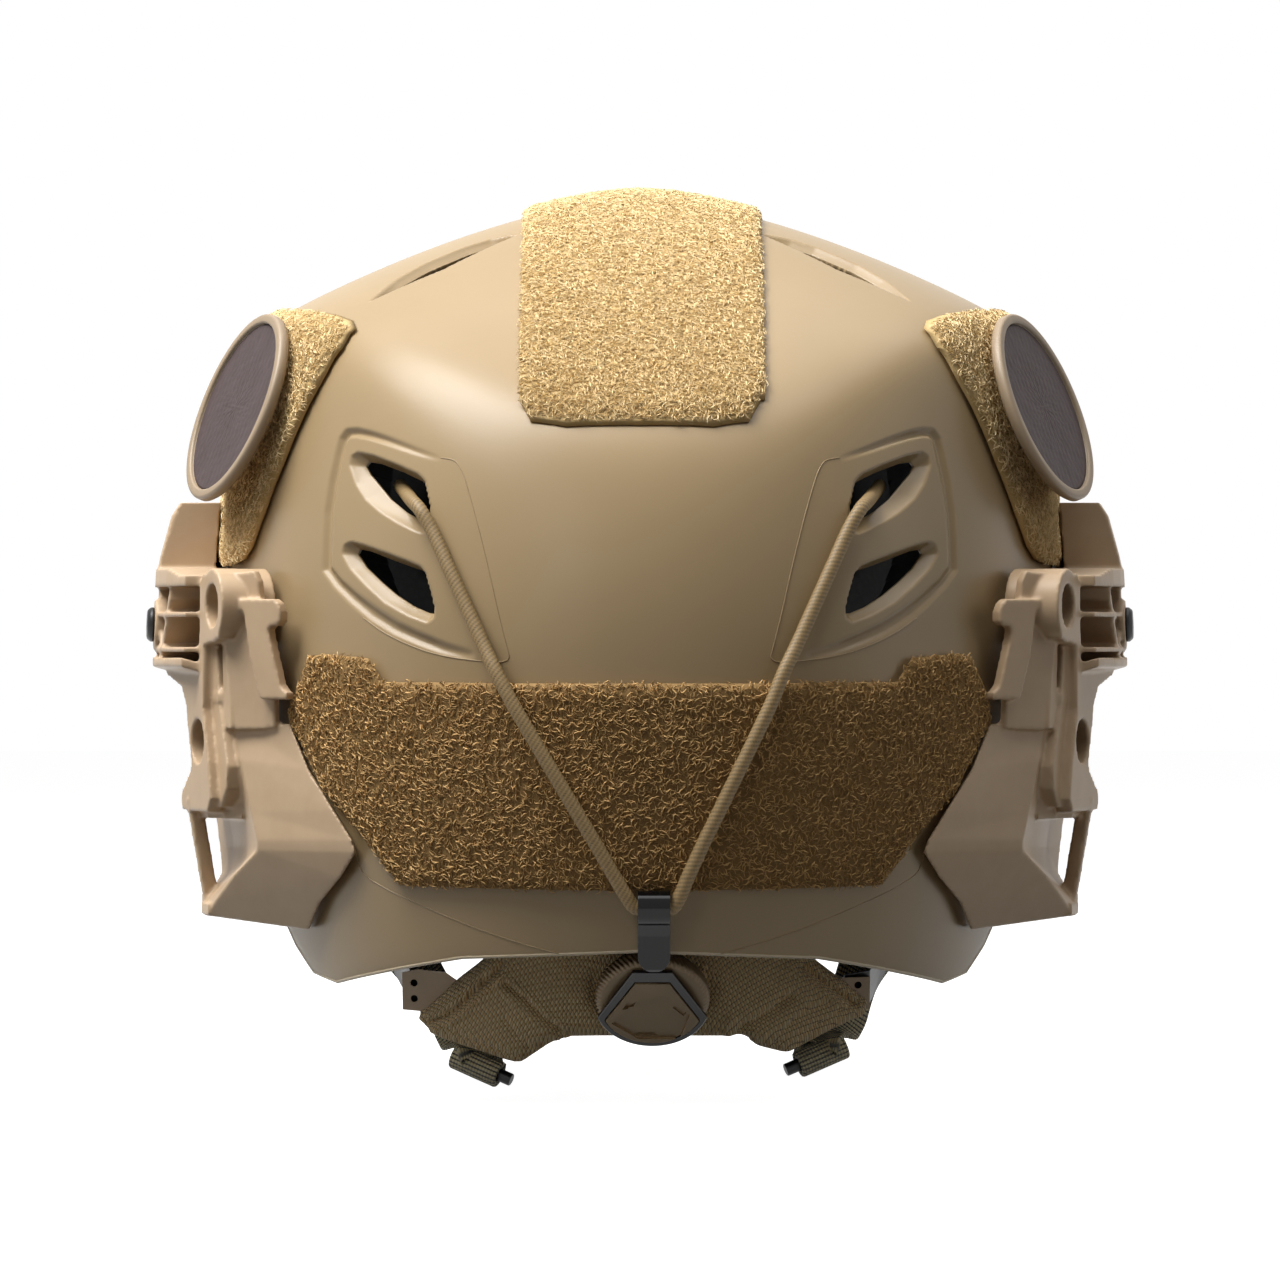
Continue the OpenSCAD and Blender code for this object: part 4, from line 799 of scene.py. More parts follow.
def vented_dome(place, depth, thickness, holes, needs, levels, columns=180, rows=72):
    """A dome of two walls joined at its rim and round each hole, in mm, as a bmesh."""
    shares, faces = divided_grid(columns, rows, place, needs, levels)
    points = place(shares[:, 0], shares[:, 1])
    middles = np.array([points[f].mean(0) for f in faces])
    keep = np.ones(len(faces), bool)
    for outline, plane in holes:
        keep &= ~(faces_towards(middles, plane) & within(flat_of(middles, plane), outline))
    kept = [f for f, on in zip(faces, keep) if on]
    step = 0.02
    ahead = place(np.clip(shares[:, 0], 0, 1) + step / columns, shares[:, 1])
    above = place(shares[:, 0], np.clip(shares[:, 1] - step / rows, 0, 1))
    normal = np.cross(above - points, ahead - points)
    length = np.linalg.norm(normal, axis=1)[:, None]
    outward = np.where(length > 1e-12, normal / np.maximum(length, 1e-12), (0, 0, 1))
    outward[shares[:, 1] > 0.999] = (0, 0, 1)
    outward *= np.where((outward * points).sum(1) < 0, -1, 1)[:, None]
    used = {}
    for f in kept:
        for a, b in zip(f, f[1:] + f[:1]):
            used[(min(a, b), max(a, b))] = used.get((min(a, b), max(a, b)), 0) + 1
    loose = np.zeros(len(points), bool)
    for (a, b), times in used.items():
        if times == 1:
            loose[[a, b]] = True
    for outline, plane in holes:
        flat = flat_of(points, plane)
        gap, near, _ = distance(flat, outline)
        snap = loose & faces_towards(points, plane) & (gap < 3)
        if snap.any():
            side = np.sign(points[snap, 0])
            at = back_at if plane == REAR_RING else top_at
            points[snap] = at(side * np.abs(near[snap, 0]), near[snap, 1], place.off)
    outer = points - outward * depth(points)[:, None]
    inner = points - outward * thickness
    return outer, inner, kept


def build_walls(name, outer, inner, faces, material, node, bevel_mm):
    """Joins two walls of a dome, closes their edges and rounds them."""
    bm = bmesh.new()
    out_verts = [bm.verts.new(p * MM) for p in outer]
    in_verts = [bm.verts.new(p * MM) for p in inner]
    for f in faces:
        if len(set(f)) > 2:
            bm.faces.new([out_verts[i] for i in f])
            bm.faces.new([in_verts[i] for i in reversed(f)])
    bmesh.ops.remove_doubles(bm, verts=bm.verts, dist=0.003 * MM)
    loops = [e for e in bm.edges if len(e.link_faces) == 1]
    partner = {a: b for a, b in zip(out_verts, in_verts) if a.is_valid and b.is_valid}
    made = []
    for e in loops:
        a, b = e.verts
        if a in partner and b in partner and partner[a] != partner[b]:
            bm.faces.new((a, b, partner[b], partner[a]))
            made.append(e)
    loose = [v for v in bm.verts if not v.link_faces]
    bmesh.ops.delete(bm, geom=loose, context="VERTS")
    bmesh.ops.recalc_face_normals(bm, faces=bm.faces)
    made = [e for e in made if e.is_valid]
    bmesh.ops.bevel(
        bm, geom=made, offset=bevel_mm * MM, segments=2, affect="EDGES", profile=0.5,
        clamp_overlap=True,
    )
    mesh = bpy.data.meshes.new(name)
    bm.to_mesh(mesh)
    bm.free()
    return settle(placed(name, mesh), material, "helmet", node)


def dome_place(off, raise_mm=0.0):
    def place(u, v):
        az = 270 + 360 * np.asarray(u, float)
        return skin(az, rows_to_height(az, np.asarray(v, float), TOP + off, raise_mm), off)
    place.off = off
    return place


print("dome tools are ready")

# %% Shell
GROOVE_DEPTH = 1.15
LIP_DEPTH, TOP_LIP_DEPTH = 2.6, 1.9
rear_rings = [(upper_hole, upper_lip), (lower_hole, lower_lip)]


def shell_depth(points):
    """How far the surface is pressed in: the panel's groove and the lip of each vent."""
    depth = np.zeros(len(points))
    rear = faces_towards(points, REAR_RING) & (np.abs(points[:, 0]) < 84) & (points[:, 2] > 26)
    flat = flat_of(points[rear], REAR_RING)
    gap, _, share = distance(flat, panel_groove, closed=False)
    width = np.interp(share, [0, 0.3, 0.62, 0.75, 1], [1.0, 1.5, 1.5, 2.2, 1.7])
    strength = np.interp(share, [0, 0.2, 0.9, 1], [0, 1, 1, 0.35])
    pressed = GROOVE_DEPTH * strength * (1 - rise(gap / width))
    for hole, lip in rear_rings:
        pressed = np.maximum(pressed, lip_depth(flat, hole, lip, LIP_DEPTH))
    depth[rear] = pressed
    high = faces_towards(points, TOP_RING) & (np.abs(points[:, 0]) < 72) & (points[:, 1] < -30)
    flat = flat_of(points[high], TOP_RING)
    depth[high] = lip_depth(flat, top_vent, top_lip, TOP_LIP_DEPTH)
    return depth


def near_lines(reaches, rear_lines, top_lines, lowest, widest):
    """A rule for divided_grid: cells near any of the lines, closer at each level."""
    def needs(points, level):
        near = np.zeros(len(points), bool)
        shown = (np.abs(points[:, 0]) < widest) & (points[:, 2] > lowest)
        for plane, lines in ((REAR_RING, rear_lines), (TOP_RING, top_lines)):
            there = faces_towards(points, plane) & (shown | (plane == TOP_RING))
            flat = flat_of(points[there], plane)
            gaps = [distance(flat, line, line is not panel_groove)[0] for line in lines]
            near[there] |= np.min(gaps, 0) < reaches[level]
        return near
    return needs


shell_holes = [(upper_hole, REAR_RING), (lower_hole, REAR_RING), (top_vent, TOP_RING)]
rear_lines = [panel_groove, upper_hole, upper_lip, lower_hole, lower_lip]
shell_needs = near_lines((5.0, 3.4, 2.4), rear_lines, [top_vent, top_lip], 20, 90)
walls = vented_dome(dome_place(0), shell_depth, WALL_T, shell_holes, shell_needs, 3)
shell = build_walls("shell_painted", *walls, shell_paint, "shell", 0.5)
print("shell faces:", len(shell.data.polygons))

# %% Liner
vent_channel = [(-72, 84), (-74, 60), (-70, 50), (-50, 38), (-48, 56), (-50, 78)]
liner_needs = near_lines((5,), [vent_channel], [top_vent], -math.inf, math.inf)
LINER_OFF, LINER_RAISE, LINER_T = -4.8, 10, 14
liner_holes = [(vent_channel, REAR_RING), (top_vent, TOP_RING)]
walls = vented_dome(
    dome_place(LINER_OFF, LINER_RAISE), lambda p: np.zeros(len(p)), LINER_T, liner_holes,
    liner_needs, 1, 120, 48,
)
liner = build_walls("liner_bead_foam", *walls, bead_foam, "impact_liner", 1.2)
print("liner faces:", len(liner.data.polygons))

# %% [markdown]
# Two fine lines cross the rear of the shell: the parting line of the mould's insert
# beside each panel, and a long scribed arc over the rim. They stand about 0.15 mm proud,
# so each is a hair-thin tube laid into the surface.

# %% Mould lines
line_parts = []
for side in (-1, 1):
    for outline in (parting_line, scribe_line):
        drawn = np.array([(side * abs(x), 0, z) for x, z in outline], float)
        flat, _ = smooth_line(drawn, 1.0)
        line_parts.append(back_at(flat[:, 0], flat[:, 2], 0.02))
for i, route in enumerate(line_parts):
    tube("mould_line_" + "abcd"[i], route, 0.13, 6, shell_paint, "helmet")
print("mould lines:", len(line_parts))

# %% [markdown]
# The rim of the shell ends in a fine rolled bead, coloured paler than the paint as a
# painted highlight along the rim's edge. It is one closed tube that follows the rim all the way
# round.

# %% Rim bead
# Rim bead: pale tan, a painted highlight along the edge of the rim
rim_painted_highlight = moulded_polymer(
    "rim_bead_pale_tan_painted_highlight", "#b3a286", "#c9b99c", 0.4, 0.8, 0.05, 20, 0.4
)
rim_az = np.linspace(0, 360, 361)
rim_line = skin(rim_az, rim_z(rim_az) + 0.45, -0.45)
tube("rim_bead", rim_line, 0.55, 8, rim_painted_highlight, "helmet", up=(0, 0, 1))
print("rim bead length in mm:", round(float(lengths_along(rim_line)[-1])))

# %% [markdown]
# The patches are brushed loop cloth. Each is a thin slab that follows the skin, and its
# pile is grown by Geometry Nodes: points scattered over the face, a bent fibre on each,
# turned and scaled at random with a fixed seed, and a shade stored for each fibre.

# %% A bent fibre and the tree that plants it
FIBRE_R = 0.12
fibre_points = [(-1.15, -0.2, -0.2)]
for x, y, z in ((-0.45, 0.4, 0.3), (0.45, 0.42, 0.45)):
    low = z - FIBRE_R / 2
    fibre_points += [(x, y, z + FIBRE_R), (x, y + FIBRE_R, low), (x, y - FIBRE_R, low)]
fibre_points.append((1.1, -0.2, 0.1))
fibre_faces = [
    (0, 2, 1), (0, 3, 2), (0, 1, 3), (1, 2, 5, 4), (2, 3, 6, 5), (3, 1, 4, 6),
    (4, 5, 7), (5, 6, 7), (6, 4, 7),
]
fibre = bpy.data.objects.new("pile_fibre", mesh_of("pile_fibre", fibre_points, fibre_faces))


def open_tree(name, *labels):
    """A tree for a modifier: its start, and a function that adds a node to it."""
    kinds = {"Copied": "Object", "Seed": "Int", "Finish": "Material"}
    tree = bpy.data.node_groups.new(name, "GeometryNodeTree")
    tree.is_modifier = True
    geometry = {"name": "Geometry", "socket_type": "NodeSocketGeometry"}
    tree.interface.new_socket(in_out="INPUT", **geometry)
    for label in labels:
        kind = "NodeSocket" + kinds.get(label, "Float")
        tree.interface.new_socket(label, in_out="INPUT", socket_type=kind)
    tree.interface.new_socket(in_out="OUTPUT", **geometry)
    start = tree.nodes.new("NodeGroupInput")

    def node(kind, settings=None, **inputs):
        return add(tree, kind, settings, {k.replace("_", " "): v for k, v in inputs.items()})

    return tree, start, node


def random_value(tree, start, kind, low, high):
    """A random node seeded by the tree's own seed. Floats sit on its third and fourth inputs."""
    first = 2 if kind == "FLOAT" else 0
    inputs = {first: low, first + 1: high, "Seed": (start, "Seed")}
    return add(tree, "FunctionNodeRandomValue", {"data_type": kind}, inputs)


def copies(tree, start, node, spots, tilt, scale):
    """Copies of one object on points, each tilted a little and spun at random."""
    source = node("GeometryNodeObjectInfo", Object=(start, "Copied"))
    spin = random_value(tree, start, "FLOAT_VECTOR", (-tilt, -tilt, 0.0), (tilt, tilt, 6.283))
    turned = node(
        "FunctionNodeRotateRotation", {"rotation_space": "LOCAL"},
        Rotation=(spots, "Rotation"), Rotate_By=(spin, "Value"),
    )
    return node(
        "GeometryNodeInstanceOnPoints", Points=(spots, "Points"),
        Instance=(source, "Geometry"), Rotation=(turned, "Rotation"), Scale=scale,
    )


def close_tree(tree, start, node, instances):
    """Turns instances into one mesh in the tree's finish, and ends the tree."""
    real = node("GeometryNodeRealizeInstances", Geometry=instances)
    finish = (start, "Finish")
    dressed = node("GeometryNodeSetMaterial", Geometry=(real, "Geometry"), Material=finish)
    node("NodeGroupOutput", Geometry=(dressed, "Geometry"))
    return tree


def pile_tree(name):
    """Scatters fibres over faces, each with its own size and shade."""
    tree, start, node = open_tree(name, "Copied", "Density", "Seed", "Finish")
    spots = node(
        "GeometryNodeDistributePointsOnFaces", Mesh=(start, "Geometry"),
        Density=(start, "Density"), Seed=(start, "Seed"),
    )
    size = random_value(tree, start, "FLOAT", 0.65, 1.3)
    plant = copies(tree, start, node, spots, 0.35, (size, 1))
    shade = random_value(tree, start, "FLOAT", 0.15, 1.0)
    stored = node(
        "GeometryNodeStoreNamedAttribute", {"data_type": "FLOAT", "domain": "INSTANCE"},
        Geometry=(plant, "Instances"), Name="fibre_shade", Value=(shade, 1),
    )
    return close_tree(tree, start, node, (stored, "Geometry"))


def set_inputs(modifier, values):
    """Sets a Geometry Nodes modifier's inputs by the identifiers of their sockets."""
    for item in modifier.node_group.interface.items_tree:
        if item.in_out == "INPUT" and item.name in values:
            modifier[item.identifier] = values[item.name]


plant_pile = pile_tree("brushed_loop_pile")
print("sockets in the pile's tree:", len(plant_pile.interface.items_tree))

# %% Patches and their pile


def resampled(columns, step):
    """Columns of [place, low, high] divided evenly, in steps of a few mm."""
    columns = np.array(columns, float)
    places = np.arange(columns[0, 0], columns[-1, 0] + step / 2, step)
    places = np.unique(np.concatenate([places, columns[:, 0]]))
    ends = [np.interp(places, columns[:, 0], columns[:, k]) for k in (1, 2)]
    return np.stack([places, *ends], -1)


def both_sides(columns):
    return columns + [(-c[0], c[1], c[2]) for c in columns[::-1] if c[0] != 0]


def patch(name, columns, at, lift, material, node, density, seed, mirror=False, layers=1):
    """A slab of loop cloth, lifted off the skin, with its pile grown on its face."""
    low, high = PATCH_LOW + lift, PATCH_HIGH + lift
    columns = resampled(columns, PATCH_CELL)
    rows = max(6, int(np.ptp(columns[:, 1:]) / PATCH_CELL))
    share = np.linspace(0, 1, rows + 1)
    reach = columns[:, 2:] - columns[:, 1:2]
    a, b = np.broadcast_arrays(columns[:, :1], columns[:, 1:2] + reach * share)
    flip = np.array([-1, 1, 1]) if mirror else 1
    edge = np.ones(a.shape)
    edge[[0, -1]] = edge[:, [0, -1]] = 0.55
    top = (at(a, b, low + (high - low) * edge) * flip).reshape(-1, 3)
    under = (at(a, b, low) * flip).reshape(-1, 3)
    faces = slab_faces(*a.shape)
    cloth = piece(name, np.vstack([top, under]), faces, material, "helmet", node)
    store(cloth, "fibre_shade", np.full(len(cloth.data.vertices), 0.25))
    top_faces = faces[::2][: (a.shape[0] - 1) * (a.shape[1] - 1)]
    ground = mesh_of(name + "_pile", top, top_faces)
    with editing(ground) as bm:
        bm.normal_update()
        bm.faces.ensure_lookup_table()
        middle = bm.faces[len(bm.faces) // 2]
        if middle.normal.dot(middle.calc_center_median()) < 0:
            bmesh.ops.reverse_faces(bm, faces=bm.faces)
    for layer in range(layers):
        pile = placed(name + "_pile_" + "ab"[layer], ground)
        grow = pile.modifiers.new("pile", "NODES")
        grow.node_group = plant_pile
        set_inputs(grow, {
            "Copied": fibre, "Density": density, "Seed": seed + 10 * layer, "Finish": material
        })
        plain_mesh(pile)
        settle(pile, material, "helmet", smooth=False)
        print(name, "fibres:", len(pile.data.polygons) // len(fibre_faces))


PATCH_LOW, PATCH_HIGH, PATCH_CELL = 0.4, 2.2, 2.5
HALF_PATCH = 29.5
top_columns = both_sides([
    (-HALF_PATCH, -113, 47), (-HALF_PATCH * 0.9, -118, 51), (-HALF_PATCH * 0.6, -120.3, 52.6),
    (-HALF_PATCH * 0.3, -120.8, 53.6), (0, -121, 54),
])
rear_columns = both_sides([
    (-86.4, 17, 20), (-84, 13.5, 26.5), (-81.2, 8, 33.5), (-77.3, 0.3, 34),
    (-68.6, -9.2, 33.3), (-66.3, -12, 33), (-62.5, -17.5, 27.3), (-58.5, -22.3, 27.2),
    (-49, -22.4, 27.2), (-40, -22.6, 27.1), (-30, -22.7, 27), (-20, -22.8, 27),
    (-10, -22.9, 27), (0, -23, 27),
])
side_columns = [
    (-79, 104, 110), (-75.5, 92, 115), (-71.5, 81, 117), (-65.5, 69.5, 118.5),
    (-59.5, 61, 119.5), (-54, 57.8, 120), (-46, 56.8, 120.5), (-36, 56.8, 121),
    (-24, 56.8, 121), (-12, 56.8, 121), (0, 56.8, 121), (12, 56.8, 120.5),
    (24, 57.4, 119), (34, 58, 117), (42, 62, 112),
]
patch(
    "top_patch_cloth", top_columns, top_at, 0, pile_sand, "top_loop_patch", 1.35e6, 3,
    layers=2,
)
patch("rear_patch_cloth", rear_columns, back_at, 0, pile_coyote, "rear_loop_patch", 1.72e6, 4)
for side, seed in (("right", 5), ("left", 6)):
    patch(
        "side_patch_" + side + "_cloth", side_columns, side_at, 0.4, pile_sand,
        "side_loop_patch_" + side, 2.0e6, seed, mirror=side == "left",
    )
bpy.data.objects.remove(fibre)

# %% [markdown]
# The rails are thin-walled mouldings: a truss with deep pockets, a drop leg with a ring and
# a strap bar, and a wing that runs back onto the shell. Their CAD solids hold every strut
# and slot, so each only has its edges rounded, as the mould and its polish leave them.

# %% Rails
for node_name in ("rail_left", "rail_right"):
    made = softened(node_name, rail_nylon, 0.5, 3, 150_000)
    print(node_name, "faces:", len(made.data.polygons))

# %% [markdown]
# Small rigid fittings keep their CAD shape and only have their edges eased.

# %% Rigid fittings
for node_name in ("front_shroud", "fit_cradle"):
    eased(node_name, rail_nylon, 0.4)
for node_name in (
    "rail_bolts_left", "rail_bolts_right", "shroud_screws", "arm_guides", "dial_base",
    "dial_spool", "strap_pins", "strap_slider_left", "strap_slider_right", "strap_anchors",
    "buckle_socket", "buckle_plug", "fit_arm_left", "fit_arm_right",
):
    eased(node_name, black_acetal, 0.3)
eased("cord_hook", gloss_black, 0.6, 3)
eased("dial_frame", smoked_gloss, 0.35, 3)
eased("dial_cap", dial_tan, 0.25)
print("fittings done")

# %% [markdown]
# The dial's collar is turned about its own axis. Its grip is a ring of fine ridges that
# lean as they climb, so each one is a soft wave in the radius that shifts with height.

# %% Dial collar
RIDGES = 68
DIAL_FACE, DIAL_TILT = (3, -116.4, -51.6), 42
COLLAR_SINK = 7.8  # how far inside the dial's face the collar's foot lies
dial_place = (
    Matrix.Translation(DIAL_FACE) @ Matrix.Rotation(math.radians(90 + DIAL_TILT), 4, "X")
    @ Matrix.Translation((0, 0, -COLLAR_SINK))
)
# Radius, height and how much of the ridge's wave there is
collar_profile = [
    (9.5, 0, 0), (11.2, 0, 0.2), (11.7, 0.05, 0.6), (12.1, 0.5, 1), (12.6, 1.2, 1),
    (13.1, 2, 1), (13.6, 2.8, 1), *((13.75, z, 1) for z in np.linspace(3.2, 5.2, 6)),
    (13.6, 5.7, 1), (13.1, 6.1, 0.9), (12.7, 6.38, 0.4), (12.3, 6.4, 0),
    (6.7, 6.4, 0), (6.7, 3, 0), (9.5, 3, 0),
]


def turned_about(place, radius, height, around):
    """Rings of points turned about the axis of a place, as rows in mm."""
    rings = [radius * np.cos(around), radius * np.sin(around)]
    local = np.stack([*rings, np.broadcast_to(height, rings[0].shape)], -1)
    m = np.array(place)
    return local.reshape(-1, 3) @ m[:3, :3].T + m[:3, 3]


around = np.linspace(0, 2 * np.pi, RIDGES * 8, endpoint=False)
r, h, ridge = (row[:, None] for row in np.array(collar_profile, float).T)
wave = np.cos(RIDGES * (around[None, :] + 0.045 * h))
points = turned_about(dial_place, r + 0.3 * ridge * wave, h, around)
collar_faces = ring_faces(len(r), len(around), closed=True)
piece(
    "dial_collar_ridged", points, collar_faces, dial_tan, body_of("dial_collar"), "dial_collar"
)
print("collar ridges:", RIDGES)

# %% [markdown]
# Each round patch is soft moulded rubber: a raised tan rim round a darker pebbled field,
# left bare. The rim is turned from a profile, and the field is a disc whose pebbles are
# real relief, two shallow waves that cross and bend each other.

# %% Round patches
# Soft rubber: matt, with the slightly greasy sheen of silicone
rubber_rim = moulded_polymer(
    "moulded_silicone_rubber_tan", "#85735c", "#937f66", 0.5, 0.8, 0.15, 10
)
rubber_field = moulded_polymer(
    "pebbled_silicone_rubber_plum_brown", "#3a2f2e", "#4b3f3f", 0.6, 0.5, 0.35, 6, 0.2
)
PATCH_R, PATCH_T, PATCH_RIM, PATCH_FIELD = 25, 3, 2.6, 1.0
BADGE_AT, BADGE_TURN, BADGE_RISE = (HALF_W - 7, -52, 95.4), -23, 20.6
badge_place = (
    Matrix.Translation(BADGE_AT) @ Matrix.Rotation(math.radians(BADGE_TURN), 4, "Z")
    @ Matrix.Rotation(math.radians(90 - BADGE_RISE), 4, "Y")
)


def turned_piece(name, profile, sides, material, nodes, mirror, wobble=0.0):
    """A profile of radius and height turned about the patch's own axis."""
    around = np.linspace(0, 2 * np.pi, sides, endpoint=False)
    r, h = (row[:, None] for row in np.array(profile, float).T)
    x, y = r * np.cos(around), r * np.sin(around)
    pebbles = np.sin(2.6 * x + 1.3 * np.sin(1.9 * y)) * np.sin(2.4 * y + 1.7 * np.sin(2.1 * x))
    raised = h + wobble * pebbles * (h >= h.max() - 0.01) * (r < r.max() - 0.3)
    points = turned_about(badge_place, r, raised, around)
    if mirror:
        points = points * (-1, 1, 1)
    made = piece(name, points, ring_faces(len(r), sides), material, "helmet", *nodes)
    with editing(made.data) as bm:
        bmesh.ops.remove_doubles(bm, verts=bm.verts, dist=0.002 * MM)
        bmesh.ops.recalc_face_normals(bm, faces=bm.faces)


corner = [(math.cos(math.radians(t)), math.sin(math.radians(t))) for t in range(0, 91, 18)]
rim_profile = (
    [(0, 0), (PATCH_R - 0.8, 0), (PATCH_R, 0.8)]
    + [(PATCH_R - 0.9 + 0.9 * c, PATCH_T - 0.9 + 0.9 * s) for c, s in corner]
    + [(PATCH_R - PATCH_RIM + 0.6 - 0.6 * c, PATCH_T - 0.6 + 0.6 * s) for c, s in corner[::-1]]
    + [(PATCH_R - PATCH_RIM, PATCH_T - PATCH_FIELD - 0.3), (0, PATCH_T - PATCH_FIELD - 0.3)]
)
FIELD_R, FIELD_Z = PATCH_R - PATCH_RIM - 0.1, PATCH_T - PATCH_FIELD
field_profile = [(0, FIELD_Z - 0.2), (FIELD_R, FIELD_Z - 0.2)]
field_profile += [(r, FIELD_Z) for r in np.linspace(FIELD_R, 0, 34)]
for side, mirror in (("right", False), ("left", True)):
    name = "round_patch_" + side
    turned_piece(name + "_rim", rim_profile, 96, rubber_rim, [name], mirror)
    turned_piece(name + "_field", field_profile, 150, rubber_field, [], mirror, 0.12)
print("round patches done")

# %% [markdown]
# The comfort pads and the nape pad are foam in a sewn cover. Their covers swell between
# the seams, which a short cloth simulation with a little pressure gives.

# %% Padded pieces


def blown(node, material, voxel_mm, cap_mm, fineness=1):
    """A foam pad: a remeshed copy of its solid, swollen as cloth and capped."""
    made = copy_of(node, node + "_cover")
    modify(made, "REMESH", mode="VOXEL", voxel_size=voxel_mm * MM)
    rest = np.array([v.co for v in made.data.vertices])
    cloth = made.modifiers.new("cover", "CLOTH")
    cloth.settings.quality = 5
    cloth.settings.mass = 0.3
    cloth.settings.use_pressure = True
    cloth.settings.uniform_pressure_force = 1.0
    cloth.settings.effector_weights.gravity = 0
    for step in range(1, 13):
        scene.frame_set(step)
    plain_mesh(made)
    now = np.array([v.co for v in made.data.vertices])
    shift = now - rest
    length = np.linalg.norm(shift, axis=1)[:, None]
    now = rest + shift * np.minimum(1, cap_mm * MM / np.maximum(length, 1e-9))
    made.data.vertices.foreach_set("co", now.astype(np.float32).ravel())
    scene.frame_set(1)
    modify(made, "SUBSURF", levels=fineness, render_levels=fineness)
    settle(made, material, body_of(node), node)
    return made


for node_name in ("crown_pad", "front_pad", "side_pad_left", "side_pad_right", "rear_pad"):
    blown(node_name, pad_cover, 2.5, 0.6)
blown("chin_cup", pad_cover, 2.0, 0.4)
# The nape pad's cloth is brightened: painted light for its place in the shade
nape = blown("nape_pad", nape_cloth_painted_light, 1.6, 0.5, 2)
print("pads done")

# %% [markdown]
# The nape pad is a foam core in coarse woven nylon. After the swelling, its rear face gets
# what a needle and use leave: two sunken seams in each half, and two shallow creases
# beside them. Each is a line in the pad's own plane, with a depth and a width.
# The weave's UV map bends along the pad, as the cloth does round its curve.

# %% Seams and weave of the nape pad
# Lines as seen from behind, in mm: points, depth, half width
PAD_LINES = [
    ([(-34.0, -41.0), (-34.8, -43.4), (-39.6, -47.9), (-44.2, -52.7), (-47.8, -55.5),
      (-52.7, -57.7)], 1.5, 1.0),
    ([(-33.0, -47.2), (-27.5, -51.9), (-23.9, -55.6), (-19.6, -58.8)], 1.2, 0.9),
    ([(40.5, -42.8), (42.9, -45.1), (47.6, -48.6), (52.6, -52.2)], 1.4, 1.1),
    ([(37.0, -50.6), (33.2, -53.6), (28.4, -56.6), (25.0, -58.2)], 1.3, 1.7),
    ([(-33.2, -56.2), (-29.8, -60.4), (-27.6, -62.8)], 0.5, 1.8),
    ([(45.8, -52.4), (40.6, -54.6), (36.2, -57.8)], 0.4, 1.5),
    ([(-53.2, -55.8), (-41.5, -61.5), (-30.2, -65.2)], 0.35, 0.7),
    ([(33.4, -62.0), (44.0, -57.4), (55.0, -51.4)], 0.35, 0.7),
]


def press_lines(made, lines):
    """Sinks each line into the rear face of a pad, which looks back and a little down."""
    co = np.array([v.co for v in made.data.vertices]) / MM
    normal = np.array([v.normal for v in made.data.vertices])
    rear = normal[:, 1] < -0.2
    depth = np.zeros(len(co))
    for line, deep, half in lines:
        gap = distance(co[rear][:, [0, 2]], line, closed=False)[0]
        fall = 1 - rise(gap / half)
        swell = 0.3 * deep * np.exp(-((gap - 2.1 * half) / (0.8 * half)) ** 2)
        depth[rear] += deep * fall - swell
    sunk = (co - normal * depth[:, None]) * MM
    made.data.vertices.foreach_set("co", sunk.astype(np.float32).ravel())
    return depth


def bent_uv(made, bend):
    """A UV map on the plane seen from behind, turned by an angle that grows with x."""
    co = corners(made)
    x, z = co[:, 0], co[:, 2] + 0.6 * co[:, 1]
    u = x * 0.8 + z * 0.6 + bend * x ** 2 / 100
    v = -x * 0.6 + z * 0.8 + bend * x ** 2 / 80
    lay_uv(made, np.stack([u, v], -1))


pressed = press_lines(nape, PAD_LINES)
bent_uv(nape, 0.12)
print("nape pad vertices:", len(nape.data.vertices))
print("deepest seam in mm:", round(float(pressed.max()), 2))

# %% [markdown]
# A row of stitches follows the outer seam of each half. Geometry Nodes turns the seam's
# line into a curve, spaces points along it and lays one short, fat thread on each. Three
# short rows of smaller stitches hold the cloth beside the dial, one left and two right.

# %% Stitches
THREAD_SIDES = 8
thread_turn = np.linspace(0, 2 * np.pi, THREAD_SIDES, endpoint=False)
thread_rings = [(-0.46, 0.07), (-0.36, 0.19), (0.0, 0.25), (0.36, 0.19), (0.46, 0.07)]
thread_points = [
    (r * math.cos(t) * 0.9, r * math.sin(t), x) for x, r in thread_rings for t in thread_turn
]
thread_faces = ring_faces(len(thread_rings), THREAD_SIDES)
thread_faces += [tuple(range(8))[::-1], tuple(range(32, 40))]
thread_mesh = mesh_of("thread_stitch", thread_points, thread_faces)
thread = bpy.data.objects.new("thread_stitch", thread_mesh)


def stitch_tree(name):
    """Lays stitches along the edges of a mesh, at an even pitch."""
    tree, start, node = open_tree(name, "Copied", "Pitch", "Stitch scale", "Seed", "Finish")
    curve = node("GeometryNodeMeshToCurve", Mesh=(start, "Geometry"))
    spots = node(
        "GeometryNodeCurveToPoints", {"mode": "LENGTH"},
        Curve=(curve, "Curve"), Length=(start, "Pitch"),
    )
    laid = copies(tree, start, node, spots, 0.16, (start, "Stitch scale"))
    return close_tree(tree, start, node, (laid, "Instances"))


# Bonded nylon thread: a smooth, slightly waxed filament
thread_tan = moulded_polymer(
    "bonded_nylon_thread_tan", "#c09c66", "#e0bf8c", 0.45, 0.5, 0.05, 3
)
lay_stitches = stitch_tree("lay_stitches")
NAPE_Y = -121.5


def on_pad(x, z, proud):
    """A point of the pad's rear surface, or a little proud of it."""
    return np.array([x, NAPE_Y + x * x / 140 + 0.55 * (-25 - z) - proud, z])


